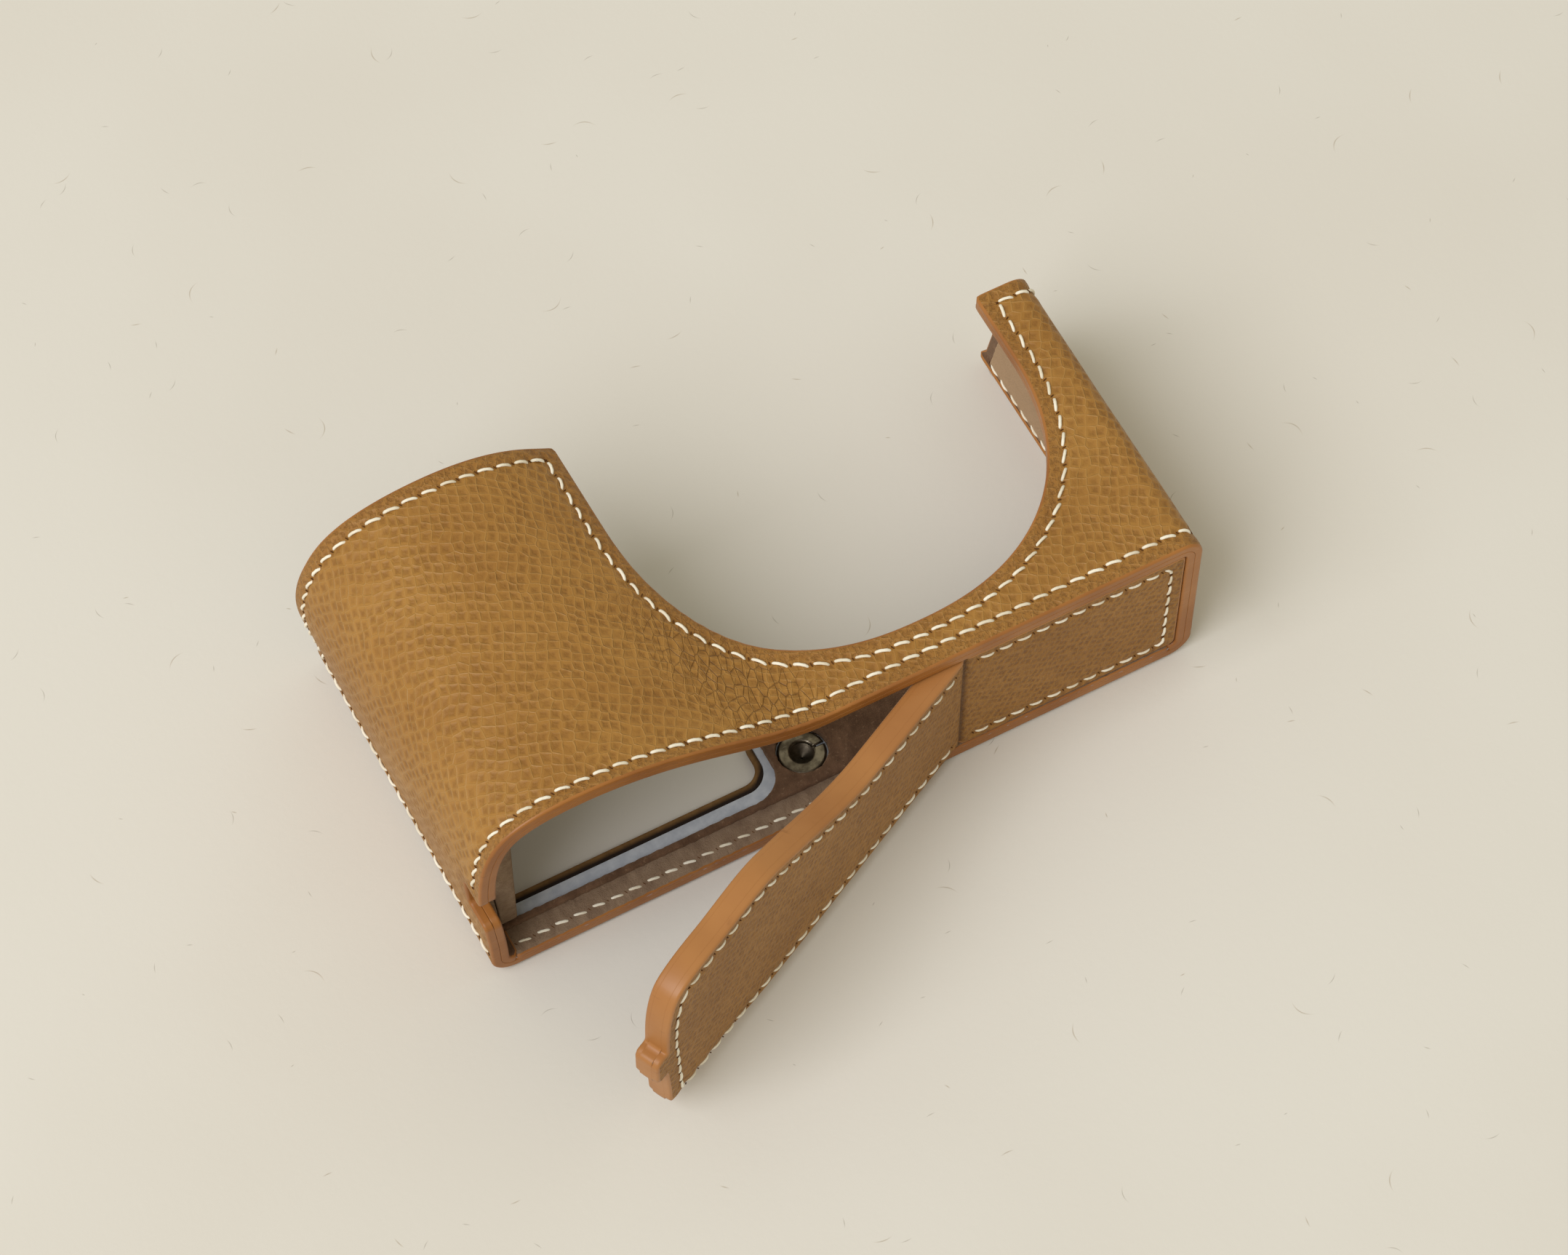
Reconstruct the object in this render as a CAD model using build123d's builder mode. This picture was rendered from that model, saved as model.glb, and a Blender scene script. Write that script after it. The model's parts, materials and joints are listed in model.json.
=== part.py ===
from build123d import *
import os
from math import copysign, cos, radians, sin

os.makedirs("parts", exist_ok=True)

# A fitted leather half case for a compact camera, with a bottom flap on a leather hinge.
# Frame: the case lies on its back. +X is to the right seen from the front, +Y is towards the
# camera's top, +Z is out of the front. The origin is on the flat back face, on the lens axis's
# line, half way up the tall part of the back panel.

# ------------------------------------------------------------------ driving sizes, in mm
# overall
width = 130.0  # left outer face to right outer face, without the grip's bulge
depth = 35.0  # back face to the flat front face
lens_to_right = 47.8  # lens axis to the right outer face
corner_radius = 4.0  # the case's long outer corners
least_corner = 0.4  # the inner layers' corners never get tighter than this

# layers
leather = 1.5  # outer leather of the case
lining = 1.5  # suede bonded inside the walls and the front
back_suede = 0.8  # suede on the back panel's board
liner = 1.0  # second suede layer, short of the bottom rim
liner_strip = 1.0  # height of it left under the lens opening
stiffener = 0.6  # pale board in the back panel
joint_gap = 0.3  # each side of the hinge's fold line
flap_clearance = 0.45  # flap to the inside of the rim
ledge_clearance = 0.1  # closed flap to the ledge

# grip bulge: sizes at the bottom edge and at the wing's top
grip_rise = (12.0, 10.3)  # peak above the front face
peak_in = (18.0, 18.8)  # peak from the left outer face
foot_in = (62.0, 50.0)  # where the bulge runs into the flat front
bulge_out = (1.0, 2.8)  # left side's swell past the left outer face
bulge_drop = (5.0, 10.0)  # widest point of the swell, below the front face
shoulder_in = (4.0, 2.6)  # turn from the side into the top of the bulge
shoulder_rise = (8.6, 4.4)
flank_in = (42.8, 38.2)  # point on the long slope down to the front
flank_rise = (5.8, 6.0)
flank_lean = (73.0, 58.0)  # outward direction there, in degrees from +X

# front view
lens_radius_x = 37.6
lens_radius_y = 37.8
lens_squareness = 2.27  # 2 is an ellipse, more is squarer
lens_above_bottom = 46.5
lens_steps = 12  # points that guide its curve
grip_top = 64.0  # heights above the bottom edge
arm_top = 58.4
wing_back_top = 66.0

# back view
panel_middle = 10.0  # the origin's height above the bottom edge
strip_height = 10.8  # low part of the back panel
tall_height = 20.0  # tall part of the back panel
step_in = 54.7  # step between them, from the left outer face
step_radius = 4.5  # inside corner at the foot of the step
tall_radius = 4.0  # outside corner at its top
board_setback = (1.0, 2.4)  # board's edge inside the leather's: at the step, and on the low part
suede_setback = (2.0, 5.1)

# bottom: rim, flap and fixed panel
rim_ledge = 4.9  # the liner starts this far above the bottom edge
panel_recess = 0.2  # flap and panel faces below the rim
cover_leather = 1.2  # their outer leather
cover_lining = 1.0
hinge_in = 44.0  # fold line from the right outer face
flap_open = 26.4  # rest position, in degrees from closed
notch_low = 17.0  # notch for the tongue in the left rim
notch_high = 24.6
notch_depth = 5.6
tongue_clearance = 0.5
tongue_end = 0.4  # tongue's end inside the left outer face
pad_in = 7.5  # flat face of the end pad, from the left outer face

# snap in the back panel
snap_in = 62.4
snap_up = 11.4
flange_radius = 4.75
flange_thick = 0.7
flange_chamfer = 0.25
barrel_radius = 2.8
snap_hole_radius = 2.2
cap_radius = 5.0
cap_thick = 0.8
snap_slit = 0.5
lining_hole_radius = 5.1
cap_setback = 0.05  # cap above the back face

# thread rows
thread_width = 0.6
thread_proud = 0.35
row_from_bottom = 2.4
row_from_lens = 2.8
row_from_top = 3.0
row_from_back = 4.8
row_in_cover = 2.3  # flap and panel rows, from their front and end edges
row_in_back = 1.4  # and from their back edges
inner_row = 2.0  # row on the inside of the back panel, above the bottom edge
back_row_start = 1.5  # the two rows beside the back start this far above the bottom edge
row_gap = 2.0  # between the end of one row and the next row or the notch
skin_reach = 1.0  # the thin skins are kept this far into the wall

# ------------------------------------------------------------------ sizes that follow
right = lens_to_right
left = right - width
bottom = -panel_middle
lens_y = bottom + lens_above_bottom
wall = leather + lining
back_stack = leather + stiffener + back_suede
top = bottom + wing_back_top
split_x = left + foot_in[0] + 4.0
hinge_x = right - hinge_in
cover_face = bottom + panel_recess
ledge_y = bottom + rim_ledge
liner_from_lens = lens_above_bottom - lens_radius_y - rim_ledge - liner_strip
high = depth + 2 * grip_rise[0]  # above everything
far = 3.0  # cutters reach this far past what they cut


def station(y):
    """XZ plane at height y, with local x along X and local y along Z."""
    return Plane.XZ.offset(-y)


def grip_section(share, inset):
    """Closed outline of the left half at a share of the height, moved inwards by inset."""

    def at(pair):
        return pair[0] + (pair[1] - pair[0]) * share

    def inwards(x, z, direction):
        return (x - inset * cos(radians(direction)), z - inset * sin(radians(direction)))

    corner = max(corner_radius - inset, least_corner)
    guide = [
        inwards(left - at(bulge_out), depth - at(bulge_drop), 180),
        inwards(left + at(shoulder_in), depth + at(shoulder_rise), 135),
        inwards(left + at(peak_in), depth + at(grip_rise), 90),
        inwards(left + at(flank_in), depth + at(flank_rise), at(flank_lean)),
        inwards(left + at(foot_in), depth, 90),
    ]
    with BuildSketch(station(bottom + share * wing_back_top)) as outline:
        with BuildLine():
            back = Line((split_x, inset), (left + inset + corner, inset))
            turn = JernArc(back @ 1, (-1, 0), corner, -90)
            bulge = Spline(turn @ 1, *guide, tangents=[(0, 1), (1, 0)])
            front = Line(bulge @ 1, (split_x, depth - inset))
            Line(front @ 1, back @ 0)
        make_face()
    return outline.sketch


def case_block(inset):
    """The whole outer form of the case, moved inwards by inset, open ends cut square."""
    corner = max(corner_radius - inset, least_corner)
    with BuildPart() as block:
        add(grip_section(0.0, inset))
        add(grip_section(1.0, inset))
        loft()
        with BuildSketch(station(bottom)):
            with BuildLine():
                run = FilletPolyline(
                    (split_x, inset),
                    (right - inset, inset),
                    (right - inset, depth - inset),
                    (split_x, depth - inset),
                    radius=corner,
                )
                Line(run @ 1, run @ 0)
            make_face()
        extrude(amount=-wing_back_top)
    return block.part


def lens_prism(grow):
    """The U of the lens opening, grown by grow, through the front."""
    def half_round(angle):
        c = cos(radians(angle))
        s = sin(radians(angle))
        x = copysign(abs(c) ** (2 / lens_squareness), c) * lens_radius_x
        y = copysign(abs(s) ** (2 / lens_squareness), s) * lens_radius_y
        return (x * (1 + grow / lens_radius_x), lens_y + y * (1 + grow / lens_radius_y))

    with BuildPart() as prism:
        with BuildSketch(Plane.XY.offset(depth / 2)):
            with BuildLine():
                points = [half_round(180 + 180 * i / lens_steps) for i in range(lens_steps + 1)]
                bowl = Spline(*points, tangents=[(0, -1), (0, 1)])
                side = lens_radius_x + grow
                Polyline(bowl @ 1, (side, top + far), (-side, top + far), bowl @ 0)
            make_face()
        extrude(amount=high)
    return prism.part


def wing_cut(lower):
    """What is cut away above the wings, lowered by lower: the right arm slants back, the left less."""
    with BuildPart() as cutter:
        for front_top, reach in ((grip_top, left - far - bulge_out[1]), (arm_top, right + far)):
            with BuildSketch(Plane.YZ):
                with BuildLine():
                    Polyline(
                        (bottom + wing_back_top - lower, -far),
                        (bottom + wing_back_top - lower, 0),
                        (bottom + front_top - lower, depth),
                        (bottom + front_top - lower, high),
                        (top + far, high),
                        (top + far, -far),
                        close=True,
                    )
                make_face()
            extrude(amount=reach)
    return cutter.part


def back_prism(setback, low_z, high_z):
    """The back panel's outline between two heights in Z, its edges set back at the step and low part."""
    at_step, at_strip = setback
    with BuildPart() as panel:
        with BuildSketch(Plane.XY.offset(low_z)):
            with BuildLine():
                Polyline(
                    (left + corner_radius, bottom),
                    (right - corner_radius, bottom),
                    (right - corner_radius, bottom + tall_height - at_step),
                    (left + step_in + at_step, bottom + tall_height - at_step),
                    (left + step_in + at_step, bottom + strip_height - at_strip),
                    (left + corner_radius, bottom + strip_height - at_strip),
                    close=True,
                )
            outline = make_face()
            low_corner, high_corner = outline.vertices().group_by(Axis.X)[1].sort_by(Axis.Y)
            fillet(low_corner, step_radius + at_step)
            fillet(high_corner, tall_radius - at_step)
        extrude(amount=high_z - low_z)
    return panel.part


def slab(low, far_corner):
    """A box between two opposite corners."""
    size = [b - a for a, b in zip(low, far_corner)]
    with BuildPart() as box:
        with BuildSketch(Plane.XY.offset(low[2])):
            with Locations((low[0] + size[0] / 2, low[1] + size[1] / 2)):
                Rectangle(size[0], size[1])
        extrude(amount=size[2])
    return box.part


def finish(piece, name):
    piece.part.label = name
    export_step(piece.part, f"parts/{name}.step")


outer_form = case_block(0)
lining_form = case_block(leather)
hollow_form = case_block(wall)
liner_form = case_block(wall + liner)
thread_form = case_block(-thread_proud)
lens_cut = lens_prism(0)
wings = wing_cut(0)
notch = slab(
    (left - far - bulge_out[1], bottom - far, notch_low),
    (left + wall + liner + far, bottom + notch_depth, notch_high),
)
back_zone = slab(
    (left + corner_radius, bottom - far, -far),
    (right - corner_radius, top + far, back_stack + liner),
)
behind_walls = slab(
    (left + wall, bottom + strip_height, -far),
    (right - wall, top + far, back_stack + liner),
)

# ------------------------------------------------------------------ the case: outer leather
with BuildPart() as front_leather:
    add(outer_form)
    add(lining_form, mode=Mode.SUBTRACT)
    add(lens_cut, mode=Mode.SUBTRACT)
    add(wings, mode=Mode.SUBTRACT)
    add(back_zone, mode=Mode.SUBTRACT)
    add(behind_walls, mode=Mode.SUBTRACT)
    add(notch, mode=Mode.SUBTRACT)
finish(front_leather, "front_leather")

snap_place = (left + snap_in, bottom + snap_up)

with BuildPart() as back_leather:
    add(back_prism((0, 0), 0, leather))
    with BuildSketch(Plane.XY):
        with Locations(snap_place):
            Circle(barrel_radius)
    extrude(amount=leather, mode=Mode.SUBTRACT)
    with BuildSketch(Plane.XY):
        with Locations(snap_place):
            Circle(cap_radius)
    extrude(amount=cap_setback + cap_thick, mode=Mode.SUBTRACT)
finish(back_leather, "back_leather")

# ------------------------------------------------------------------ the case: lining and board
with BuildPart() as front_lining:
    add(lining_form)
    add(hollow_form, mode=Mode.SUBTRACT)
    add(lens_cut, mode=Mode.SUBTRACT)
    add(wings, mode=Mode.SUBTRACT)
    add(back_zone, mode=Mode.SUBTRACT)
    add(behind_walls, mode=Mode.SUBTRACT)
    add(notch, mode=Mode.SUBTRACT)
finish(front_lining, "front_lining")

with BuildPart() as back_stiffener:
    add(back_prism(board_setback, leather, leather + stiffener))
    with BuildSketch(Plane.XY.offset(leather)):
        with Locations(snap_place):
            Circle(barrel_radius)
    extrude(amount=stiffener, mode=Mode.SUBTRACT)
finish(back_stiffener, "back_stiffener")

with BuildPart() as back_lining:
    add(back_prism(suede_setback, leather + stiffener, back_stack))
    with BuildSketch(Plane.XY.offset(leather + stiffener)):
        with Locations(snap_place):
            Circle(lining_hole_radius)
    extrude(amount=back_suede, mode=Mode.SUBTRACT)
    row_groove = slab(
        (left + corner_radius + 1, bottom + inner_row - thread_width / 2, back_stack - thread_proud),
        (right - corner_radius - 1, bottom + inner_row + thread_width / 2, back_stack),
    )
    add(row_groove, mode=Mode.SUBTRACT)
finish(back_lining, "back_lining")

# ------------------------------------------------------------------ the case: inner liner and end pad
below_ledge = slab((left - far, bottom - far, -far), (right + far, ledge_y, high))

with BuildPart() as front_liner:
    add(hollow_form)
    add(liner_form, mode=Mode.SUBTRACT)
    add(lens_prism(liner_from_lens), mode=Mode.SUBTRACT)
    add(wing_cut(row_from_top), mode=Mode.SUBTRACT)
    add(slab((left + wall, bottom, 0), (right - wall, top, wall + liner)), mode=Mode.SUBTRACT)
    add(below_ledge, mode=Mode.SUBTRACT)
finish(front_liner, "front_liner")

with BuildPart() as back_liner:
    add(back_prism(suede_setback, back_stack, back_stack + liner))
    with BuildSketch(Plane.XY.offset(back_stack)):
        with Locations(snap_place):
            Circle(lining_hole_radius)
    extrude(amount=liner, mode=Mode.SUBTRACT)
    add(below_ledge, mode=Mode.SUBTRACT)
finish(back_liner, "back_liner")

with BuildPart() as end_pad:
    add(liner_form)
    pad_keep = slab(
        (left - far, ledge_y, back_stack + liner),
        (left + pad_in, bottom + grip_top - row_from_top, high),
    )
    add(pad_keep, mode=Mode.INTERSECT)
finish(end_pad, "end_pad")

# ------------------------------------------------------------------ the case: fixed bottom panel
cover_layers = (
    ("leather", cover_face, cover_face + cover_leather),
    ("core", cover_face + cover_leather, ledge_y - cover_lining),
    ("lining", ledge_y - cover_lining, ledge_y),
)
for layer, low_y, high_y in cover_layers:
    with BuildPart() as panel_piece:
        add(hollow_form)
        panel_keep = slab((hinge_x + joint_gap, low_y, back_stack), (right, high_y, high))
        add(panel_keep, mode=Mode.INTERSECT)
    finish(panel_piece, f"panel_{layer}")

# ------------------------------------------------------------------ the snap
with BuildPart() as snap_eyelet:
    with BuildSketch(Plane.XY.offset(leather + stiffener)):
        with Locations(snap_place):
            Circle(flange_radius)
    extrude(amount=flange_thick)
    with BuildSketch(Plane.XY.offset(cap_setback)):
        with Locations(snap_place):
            Circle(barrel_radius)
    extrude(amount=leather + stiffener)
    with BuildSketch(Plane.XY.offset(-far)):
        with Locations(snap_place):
            Circle(snap_hole_radius)
    extrude(amount=4 * far, mode=Mode.SUBTRACT)
    slit = slab(
        (snap_place[0], snap_place[1] - snap_slit / 2, leather + stiffener),
        (snap_place[0] + flange_radius + far, snap_place[1] + snap_slit / 2, back_stack + far),
    )
    add(slit, mode=Mode.SUBTRACT)
    flange_top = snap_eyelet.faces().sort_by(Axis.Z)[-1]
    flange_rims = flange_top.edges().filter_by(GeomType.CIRCLE).sort_by(SortBy.RADIUS)
    chamfer(flange_rims[-1], flange_chamfer)
finish(snap_eyelet, "snap_eyelet")

with BuildPart() as snap_cap:
    with BuildSketch(Plane.XY.offset(cap_setback)):
        with Locations(snap_place):
            Circle(cap_radius)
            Circle(barrel_radius, mode=Mode.SUBTRACT)
    extrude(amount=cap_thick)
finish(snap_cap, "snap_cap")

# ------------------------------------------------------------------ the flap, made closed
tongue_low = notch_low + tongue_clearance
tongue_high = notch_high - tongue_clearance
hinge_axis = Axis((hinge_x, cover_face, 0), (0, 0, 1))
flap_form = case_block(wall + flap_clearance)
flap_back = ledge_y - ledge_clearance
flap_layers = (
    ("leather", cover_face, cover_face + cover_leather),
    ("core", cover_face + cover_leather, flap_back - cover_lining),
    ("lining", flap_back - cover_lining, flap_back),
)
flap_pieces = {}
for layer, low_y, high_y in flap_layers:
    with BuildPart() as flap_piece:
        add(flap_form)
        flap_keep = slab(
            (left, low_y, back_stack + flap_clearance),
            (hinge_x - joint_gap, high_y, high),
        )
        add(flap_keep, mode=Mode.INTERSECT)
        add(slab((left + tongue_end, low_y, tongue_low), (left + wall + far, high_y, tongue_high)))
    flap_pieces[layer] = flap_piece
    flap_piece.part = flap_piece.part.rotate(hinge_axis, flap_open)
    finish(flap_piece, f"flap_{layer}")

# ------------------------------------------------------------------ thread rows
# Each row is a strip on the surface it is sewn through.
half = thread_width / 2


def sewn_row(name, band, *cuts):
    """A thread row: the thin skin over the leather, kept where the band runs."""
    with BuildPart() as row:
        add(thread_form)
        add(outer_form, mode=Mode.SUBTRACT)
        add(band, mode=Mode.INTERSECT)
        for cut in cuts:
            add(cut, mode=Mode.SUBTRACT)
    finish(row, name)


sewn_row(
    "lens_thread",
    lens_prism(row_from_lens + half),
    lens_prism(row_from_lens - half),
    wing_cut(row_from_top + half),
)
sewn_row(
    "grip_top_thread",
    slab(
        (left - far, bottom + grip_top - row_from_top - half, row_from_back + row_gap),
        (-lens_radius_x - row_from_lens - thread_width, bottom + grip_top - row_from_top + half, high),
    ),
)
arm_row = bottom + arm_top - row_from_top
sewn_row(
    "arm_top_thread",
    slab(
        (lens_radius_x + row_from_lens + thread_width, arm_row - half, depth - skin_reach),
        (right - corner_radius, arm_row + half, high),
    ),
)
sewn_row(
    "bottom_thread",
    slab(
        (left - far, bottom + row_from_bottom - half, notch_high + row_gap),
        (right - corner_radius / 2, bottom + row_from_bottom + half, high),
    ),
)
for name, low_x, high_x in (
    ("left_back_thread", left - far, left + skin_reach),
    ("right_back_thread", right - skin_reach, right + far),
):
    sewn_row(
        name,
        slab(
            (low_x, bottom + back_row_start, row_from_back - half),
            (high_x, top - row_from_top, row_from_back + half),
        ),
    )

with BuildPart() as back_thread:
    add(row_groove)
finish(back_thread, "back_thread")


def cover_skin(inset, low_x, high_x, low_z):
    """A thin skin on the outer face of the flap or panel, its outline moved inwards by inset."""
    with BuildPart() as skin:
        add(case_block(wall + inset))
        keep = slab((low_x, cover_face - thread_proud, low_z), (high_x, cover_face, high))
        add(keep, mode=Mode.INTERSECT)
    return skin.part


def cover_row(name, clearance, low_x, high_x, turned):
    """The row near the edge of the flap or panel, open at the fold."""
    outer_in = clearance + row_in_cover - half
    inner_in = outer_in + thread_width
    low_z = back_stack + clearance + row_in_back - half
    with BuildPart() as row:
        add(cover_skin(outer_in, low_x, high_x, low_z))
        add(cover_skin(inner_in, low_x, high_x, low_z + thread_width), mode=Mode.SUBTRACT)
    row.part = row.part.rotate(hinge_axis, turned)
    finish(row, name)


cover_row("panel_thread", 0, hinge_x + row_in_cover, right, 0)
cover_row("flap_thread", flap_clearance, left, hinge_x - row_in_cover, flap_open)
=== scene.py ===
import json
from math import cos, pi, radians, sin

import bpy
import numpy as np
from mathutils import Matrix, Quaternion, Vector
from mathutils.kdtree import KDTree


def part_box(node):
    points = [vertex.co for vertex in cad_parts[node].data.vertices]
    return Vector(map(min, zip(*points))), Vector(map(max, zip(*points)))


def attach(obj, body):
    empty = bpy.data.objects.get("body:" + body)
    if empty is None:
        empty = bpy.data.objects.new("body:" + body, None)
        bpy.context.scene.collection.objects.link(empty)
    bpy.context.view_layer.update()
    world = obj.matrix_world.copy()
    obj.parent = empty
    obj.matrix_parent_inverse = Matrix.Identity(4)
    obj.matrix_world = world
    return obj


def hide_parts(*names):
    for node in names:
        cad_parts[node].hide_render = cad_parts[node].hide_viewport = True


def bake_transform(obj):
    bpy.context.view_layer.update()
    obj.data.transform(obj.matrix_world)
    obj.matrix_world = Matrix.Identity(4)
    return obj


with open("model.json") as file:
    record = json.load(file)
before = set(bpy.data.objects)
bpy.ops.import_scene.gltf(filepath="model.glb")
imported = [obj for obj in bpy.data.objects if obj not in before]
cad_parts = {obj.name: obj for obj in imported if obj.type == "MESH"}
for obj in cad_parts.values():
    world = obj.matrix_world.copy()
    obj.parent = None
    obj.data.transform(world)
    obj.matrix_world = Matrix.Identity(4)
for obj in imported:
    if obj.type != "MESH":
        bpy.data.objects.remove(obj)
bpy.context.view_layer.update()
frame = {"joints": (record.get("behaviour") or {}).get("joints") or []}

# A leather half case for a compact camera, lying on its back with the bottom flap swung open.
# Sizes are in millimetres in the frame's axes, and MM turns them into metres when a mesh is made.
MM = 0.001

# ------------------------------------------------------------------ camera, first of all
CAMERA_AT = (-210.6, -345.8, 743.1)
CAMERA_HEADING = 28.35  # degrees from +Y towards +X
CAMERA_DOWN = 60.45
CAMERA_ROLL = 0.31
CAMERA_LENS = 116.88


def place_camera():
    data = bpy.data.cameras.new("view_camera")
    data.lens = CAMERA_LENS
    data.sensor_width = 36.0
    data.clip_end = 20.0
    camera = bpy.data.objects.new("view_camera", data)
    bpy.context.scene.collection.objects.link(camera)
    camera.rotation_mode = "QUATERNION"
    heading, down = radians(CAMERA_HEADING), radians(CAMERA_DOWN)
    look = Vector((sin(heading) * cos(down), cos(heading) * cos(down), -sin(down)))
    turn = look.to_track_quat("-Z", "Y")
    camera.rotation_quaternion = turn @ Quaternion((0, 0, 1), radians(CAMERA_ROLL))
    camera.location = Vector(CAMERA_AT) * MM
    bpy.context.scene.camera = camera


place_camera()

# ------------------------------------------------------------------ sizes, from the frame


def low(node):
    return np.array(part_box(node)[0]) / MM


def high(node):
    return np.array(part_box(node)[1]) / MM


HINGE = next(j for j in frame["joints"] if j["name"] == "flap_hinge")
CORNER = 4.0
RIGHT = high("front_leather")[0]
BOTTOM = low("front_leather")[1]
LEFT = low("back_leather")[0] - CORNER
DEPTH = low("arm_top_thread")[2]
WING_TOP = high("front_leather")[1]
WING_HEIGHT = WING_TOP - BOTTOM
LEATHER = high("back_leather")[2]
BOARD_TOP = high("back_stiffener")[2]
SUEDE_TOP = high("back_lining")[2]
LINER_TOP = high("back_liner")[2]
LEDGE = low("back_liner")[1]
HINGE_X = HINGE["pos_m"][0] / MM
COVER_FACE = HINGE["pos_m"][1] / MM
FLAP_OPEN = -HINGE["range_deg"][0]
COVER_LEATHER = high("panel_leather")[1] - COVER_FACE
COVER_BACK = low("panel_leather")[2]
STRIP_TOP = BOTTOM + 10.8
TALL_TOP = high("back_leather")[1]
WALL = 3.0
LINER = LINER_TOP - SUEDE_TOP

# the grip bulge, at the bottom edge and at the wing's top
BULGE_OUT = (1.0, 2.8)
BULGE_DROP = (5.0, 10.0)
SHOULDER_IN = (4.0, 2.6)
SHOULDER_RISE = (8.6, 4.4)
PEAK_IN = (18.0, 18.8)
GRIP_RISE = (12.0, 10.3)
FLANK_IN = (42.8, 38.2)
FLANK_RISE = (5.8, 6.0)
FOOT_IN = (62.0, 50.0)

LENS_X = 37.6
LENS_Y = 37.8
LENS_SQUARE = 2.27
LENS_UP = BOTTOM + 46.5
GRIP_TOP = BOTTOM + 64.0
ARM_TOP = BOTTOM + 58.4
NOTCH = (17.0, 24.6, BOTTOM + 5.6)
STEP_X = LEFT + 54.7
STEP_RADIUS = 3.4
TALL_RADIUS = 4.0
BOARD_SETBACK = (1.0, 1.9)
SUEDE_SETBACK = (2.2, 4.8)
SUEDE_HOLE = 4.4
SNAP = (LEFT + 62.4, BOTTOM + 11.4)

STITCH_PITCH = 3.38
ROW_STEP = 0.25  # between the points that a row is made from
ROW_FROM_LENS = 2.8
ROW_FROM_BOTTOM = (2.4, 3.2)  # under the bulge, and along the flat front
ROW_FROM_TOP = 2.9
ROW_FROM_BACK = 4.8
CELL = 0.6  # of the outer leathers' grids

# the zones that shape the pieces' edges
NOWHERE = -50.0  # stands for a point outside every zone
RIM_ROUND = 0.9  # corners between two cut edges
FLANGE_ROUND = 1.2
CAP_HOLE = 5.05
BACK_BELOW = 2.0  # the back panel's leather lies below this height
LEFT_WALL_REACH = 45.0  # the left wall goes this far past its first corner
SUEDE_LIFT = 0.4  # the inner suede starts this far above the ledge

# ------------------------------------------------------------------ the case's curved outer surface


def lengths_along(points):
    """How far each point is along the line through them."""
    return np.concatenate([[0], np.cumsum(np.linalg.norm(np.diff(points, axis=0), axis=1))])


def read_at(s, lengths, values):
    """The rows of values at the lengths s, with straight runs between them."""
    return np.stack([np.interp(s, lengths, column) for column in values.T], axis=1)


def facing(direction):
    """The same outward direction all over."""
    return lambda u, v: np.tile(np.asarray(direction, float), (len(u), 1))


def clamped_spline(points, start, end, count):
    """Points evenly spaced along the smooth curve through points, with unit end directions."""
    p = np.array(points, float)
    gap = np.linalg.norm(np.diff(p, axis=0), axis=1)
    t = lengths_along(p)
    n = len(p)
    a = np.zeros((n, n))
    b = np.zeros((n, 2))
    a[0, 0] = a[-1, -1] = 1
    b[0], b[-1] = start, end
    for i in range(1, n - 1):
        a[i, i - 1] = gap[i]
        a[i, i] = 2 * (gap[i - 1] + gap[i])
        a[i, i + 1] = gap[i - 1]
        b[i] = 3 * (gap[i] * (p[i] - p[i - 1]) / gap[i - 1] + gap[i - 1] * (p[i + 1] - p[i]) / gap[i])
    slope = np.linalg.solve(a, b)
    fine = np.linspace(0, t[-1], 4000)
    i = np.clip(np.searchsorted(t, fine, side="right") - 1, 0, n - 2)
    h = gap[i][:, None]
    s = ((fine - t[i]) / gap[i])[:, None]
    curve = (
        (2 * s**3 - 3 * s**2 + 1) * p[i]
        + (s**3 - 2 * s**2 + s) * h * slope[i]
        + (3 * s**2 - 2 * s**3) * p[i + 1]
        + (s**3 - s**2) * h * slope[i + 1]
    )
    walked = lengths_along(curve)
    return read_at(np.linspace(0, walked[-1], count), walked, curve), walked[-1]


def arc(centre, start_deg, end_deg, count):
    angle = np.radians(np.linspace(start_deg, end_deg, count))
    return np.stack([centre[0] + CORNER * np.cos(angle), centre[1] + CORNER * np.sin(angle)], axis=1)


def bulge_curve(k, count):
    guide = [
        (LEFT, CORNER),
        (LEFT - BULGE_OUT[k], DEPTH - BULGE_DROP[k]),
        (LEFT + SHOULDER_IN[k], DEPTH + SHOULDER_RISE[k]),
        (LEFT + PEAK_IN[k], DEPTH + GRIP_RISE[k]),
        (LEFT + FLANK_IN[k], DEPTH + FLANK_RISE[k]),
        (LEFT + FOOT_IN[k], DEPTH),
    ]
    return clamped_spline(guide, (0, 1), (1, 0), count)


BULGE_LENGTH = (bulge_curve(0, 10)[1] + bulge_curve(1, 10)[1]) / 2
FRONT_LENGTH = RIGHT - CORNER - LEFT - (FOOT_IN[0] + FOOT_IN[1]) / 2
TURN = CORNER * pi / 2
STOPS = np.cumsum([0, TURN, BULGE_LENGTH, FRONT_LENGTH, TURN, DEPTH - 2 * CORNER, TURN])
AROUND = STOPS[-1]
BACK_SEAM_X = 30.0
BACK_LEFT = BACK_SEAM_X - (LEFT + CORNER)
BACK_RIGHT = RIGHT - CORNER - BACK_SEAM_X


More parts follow.
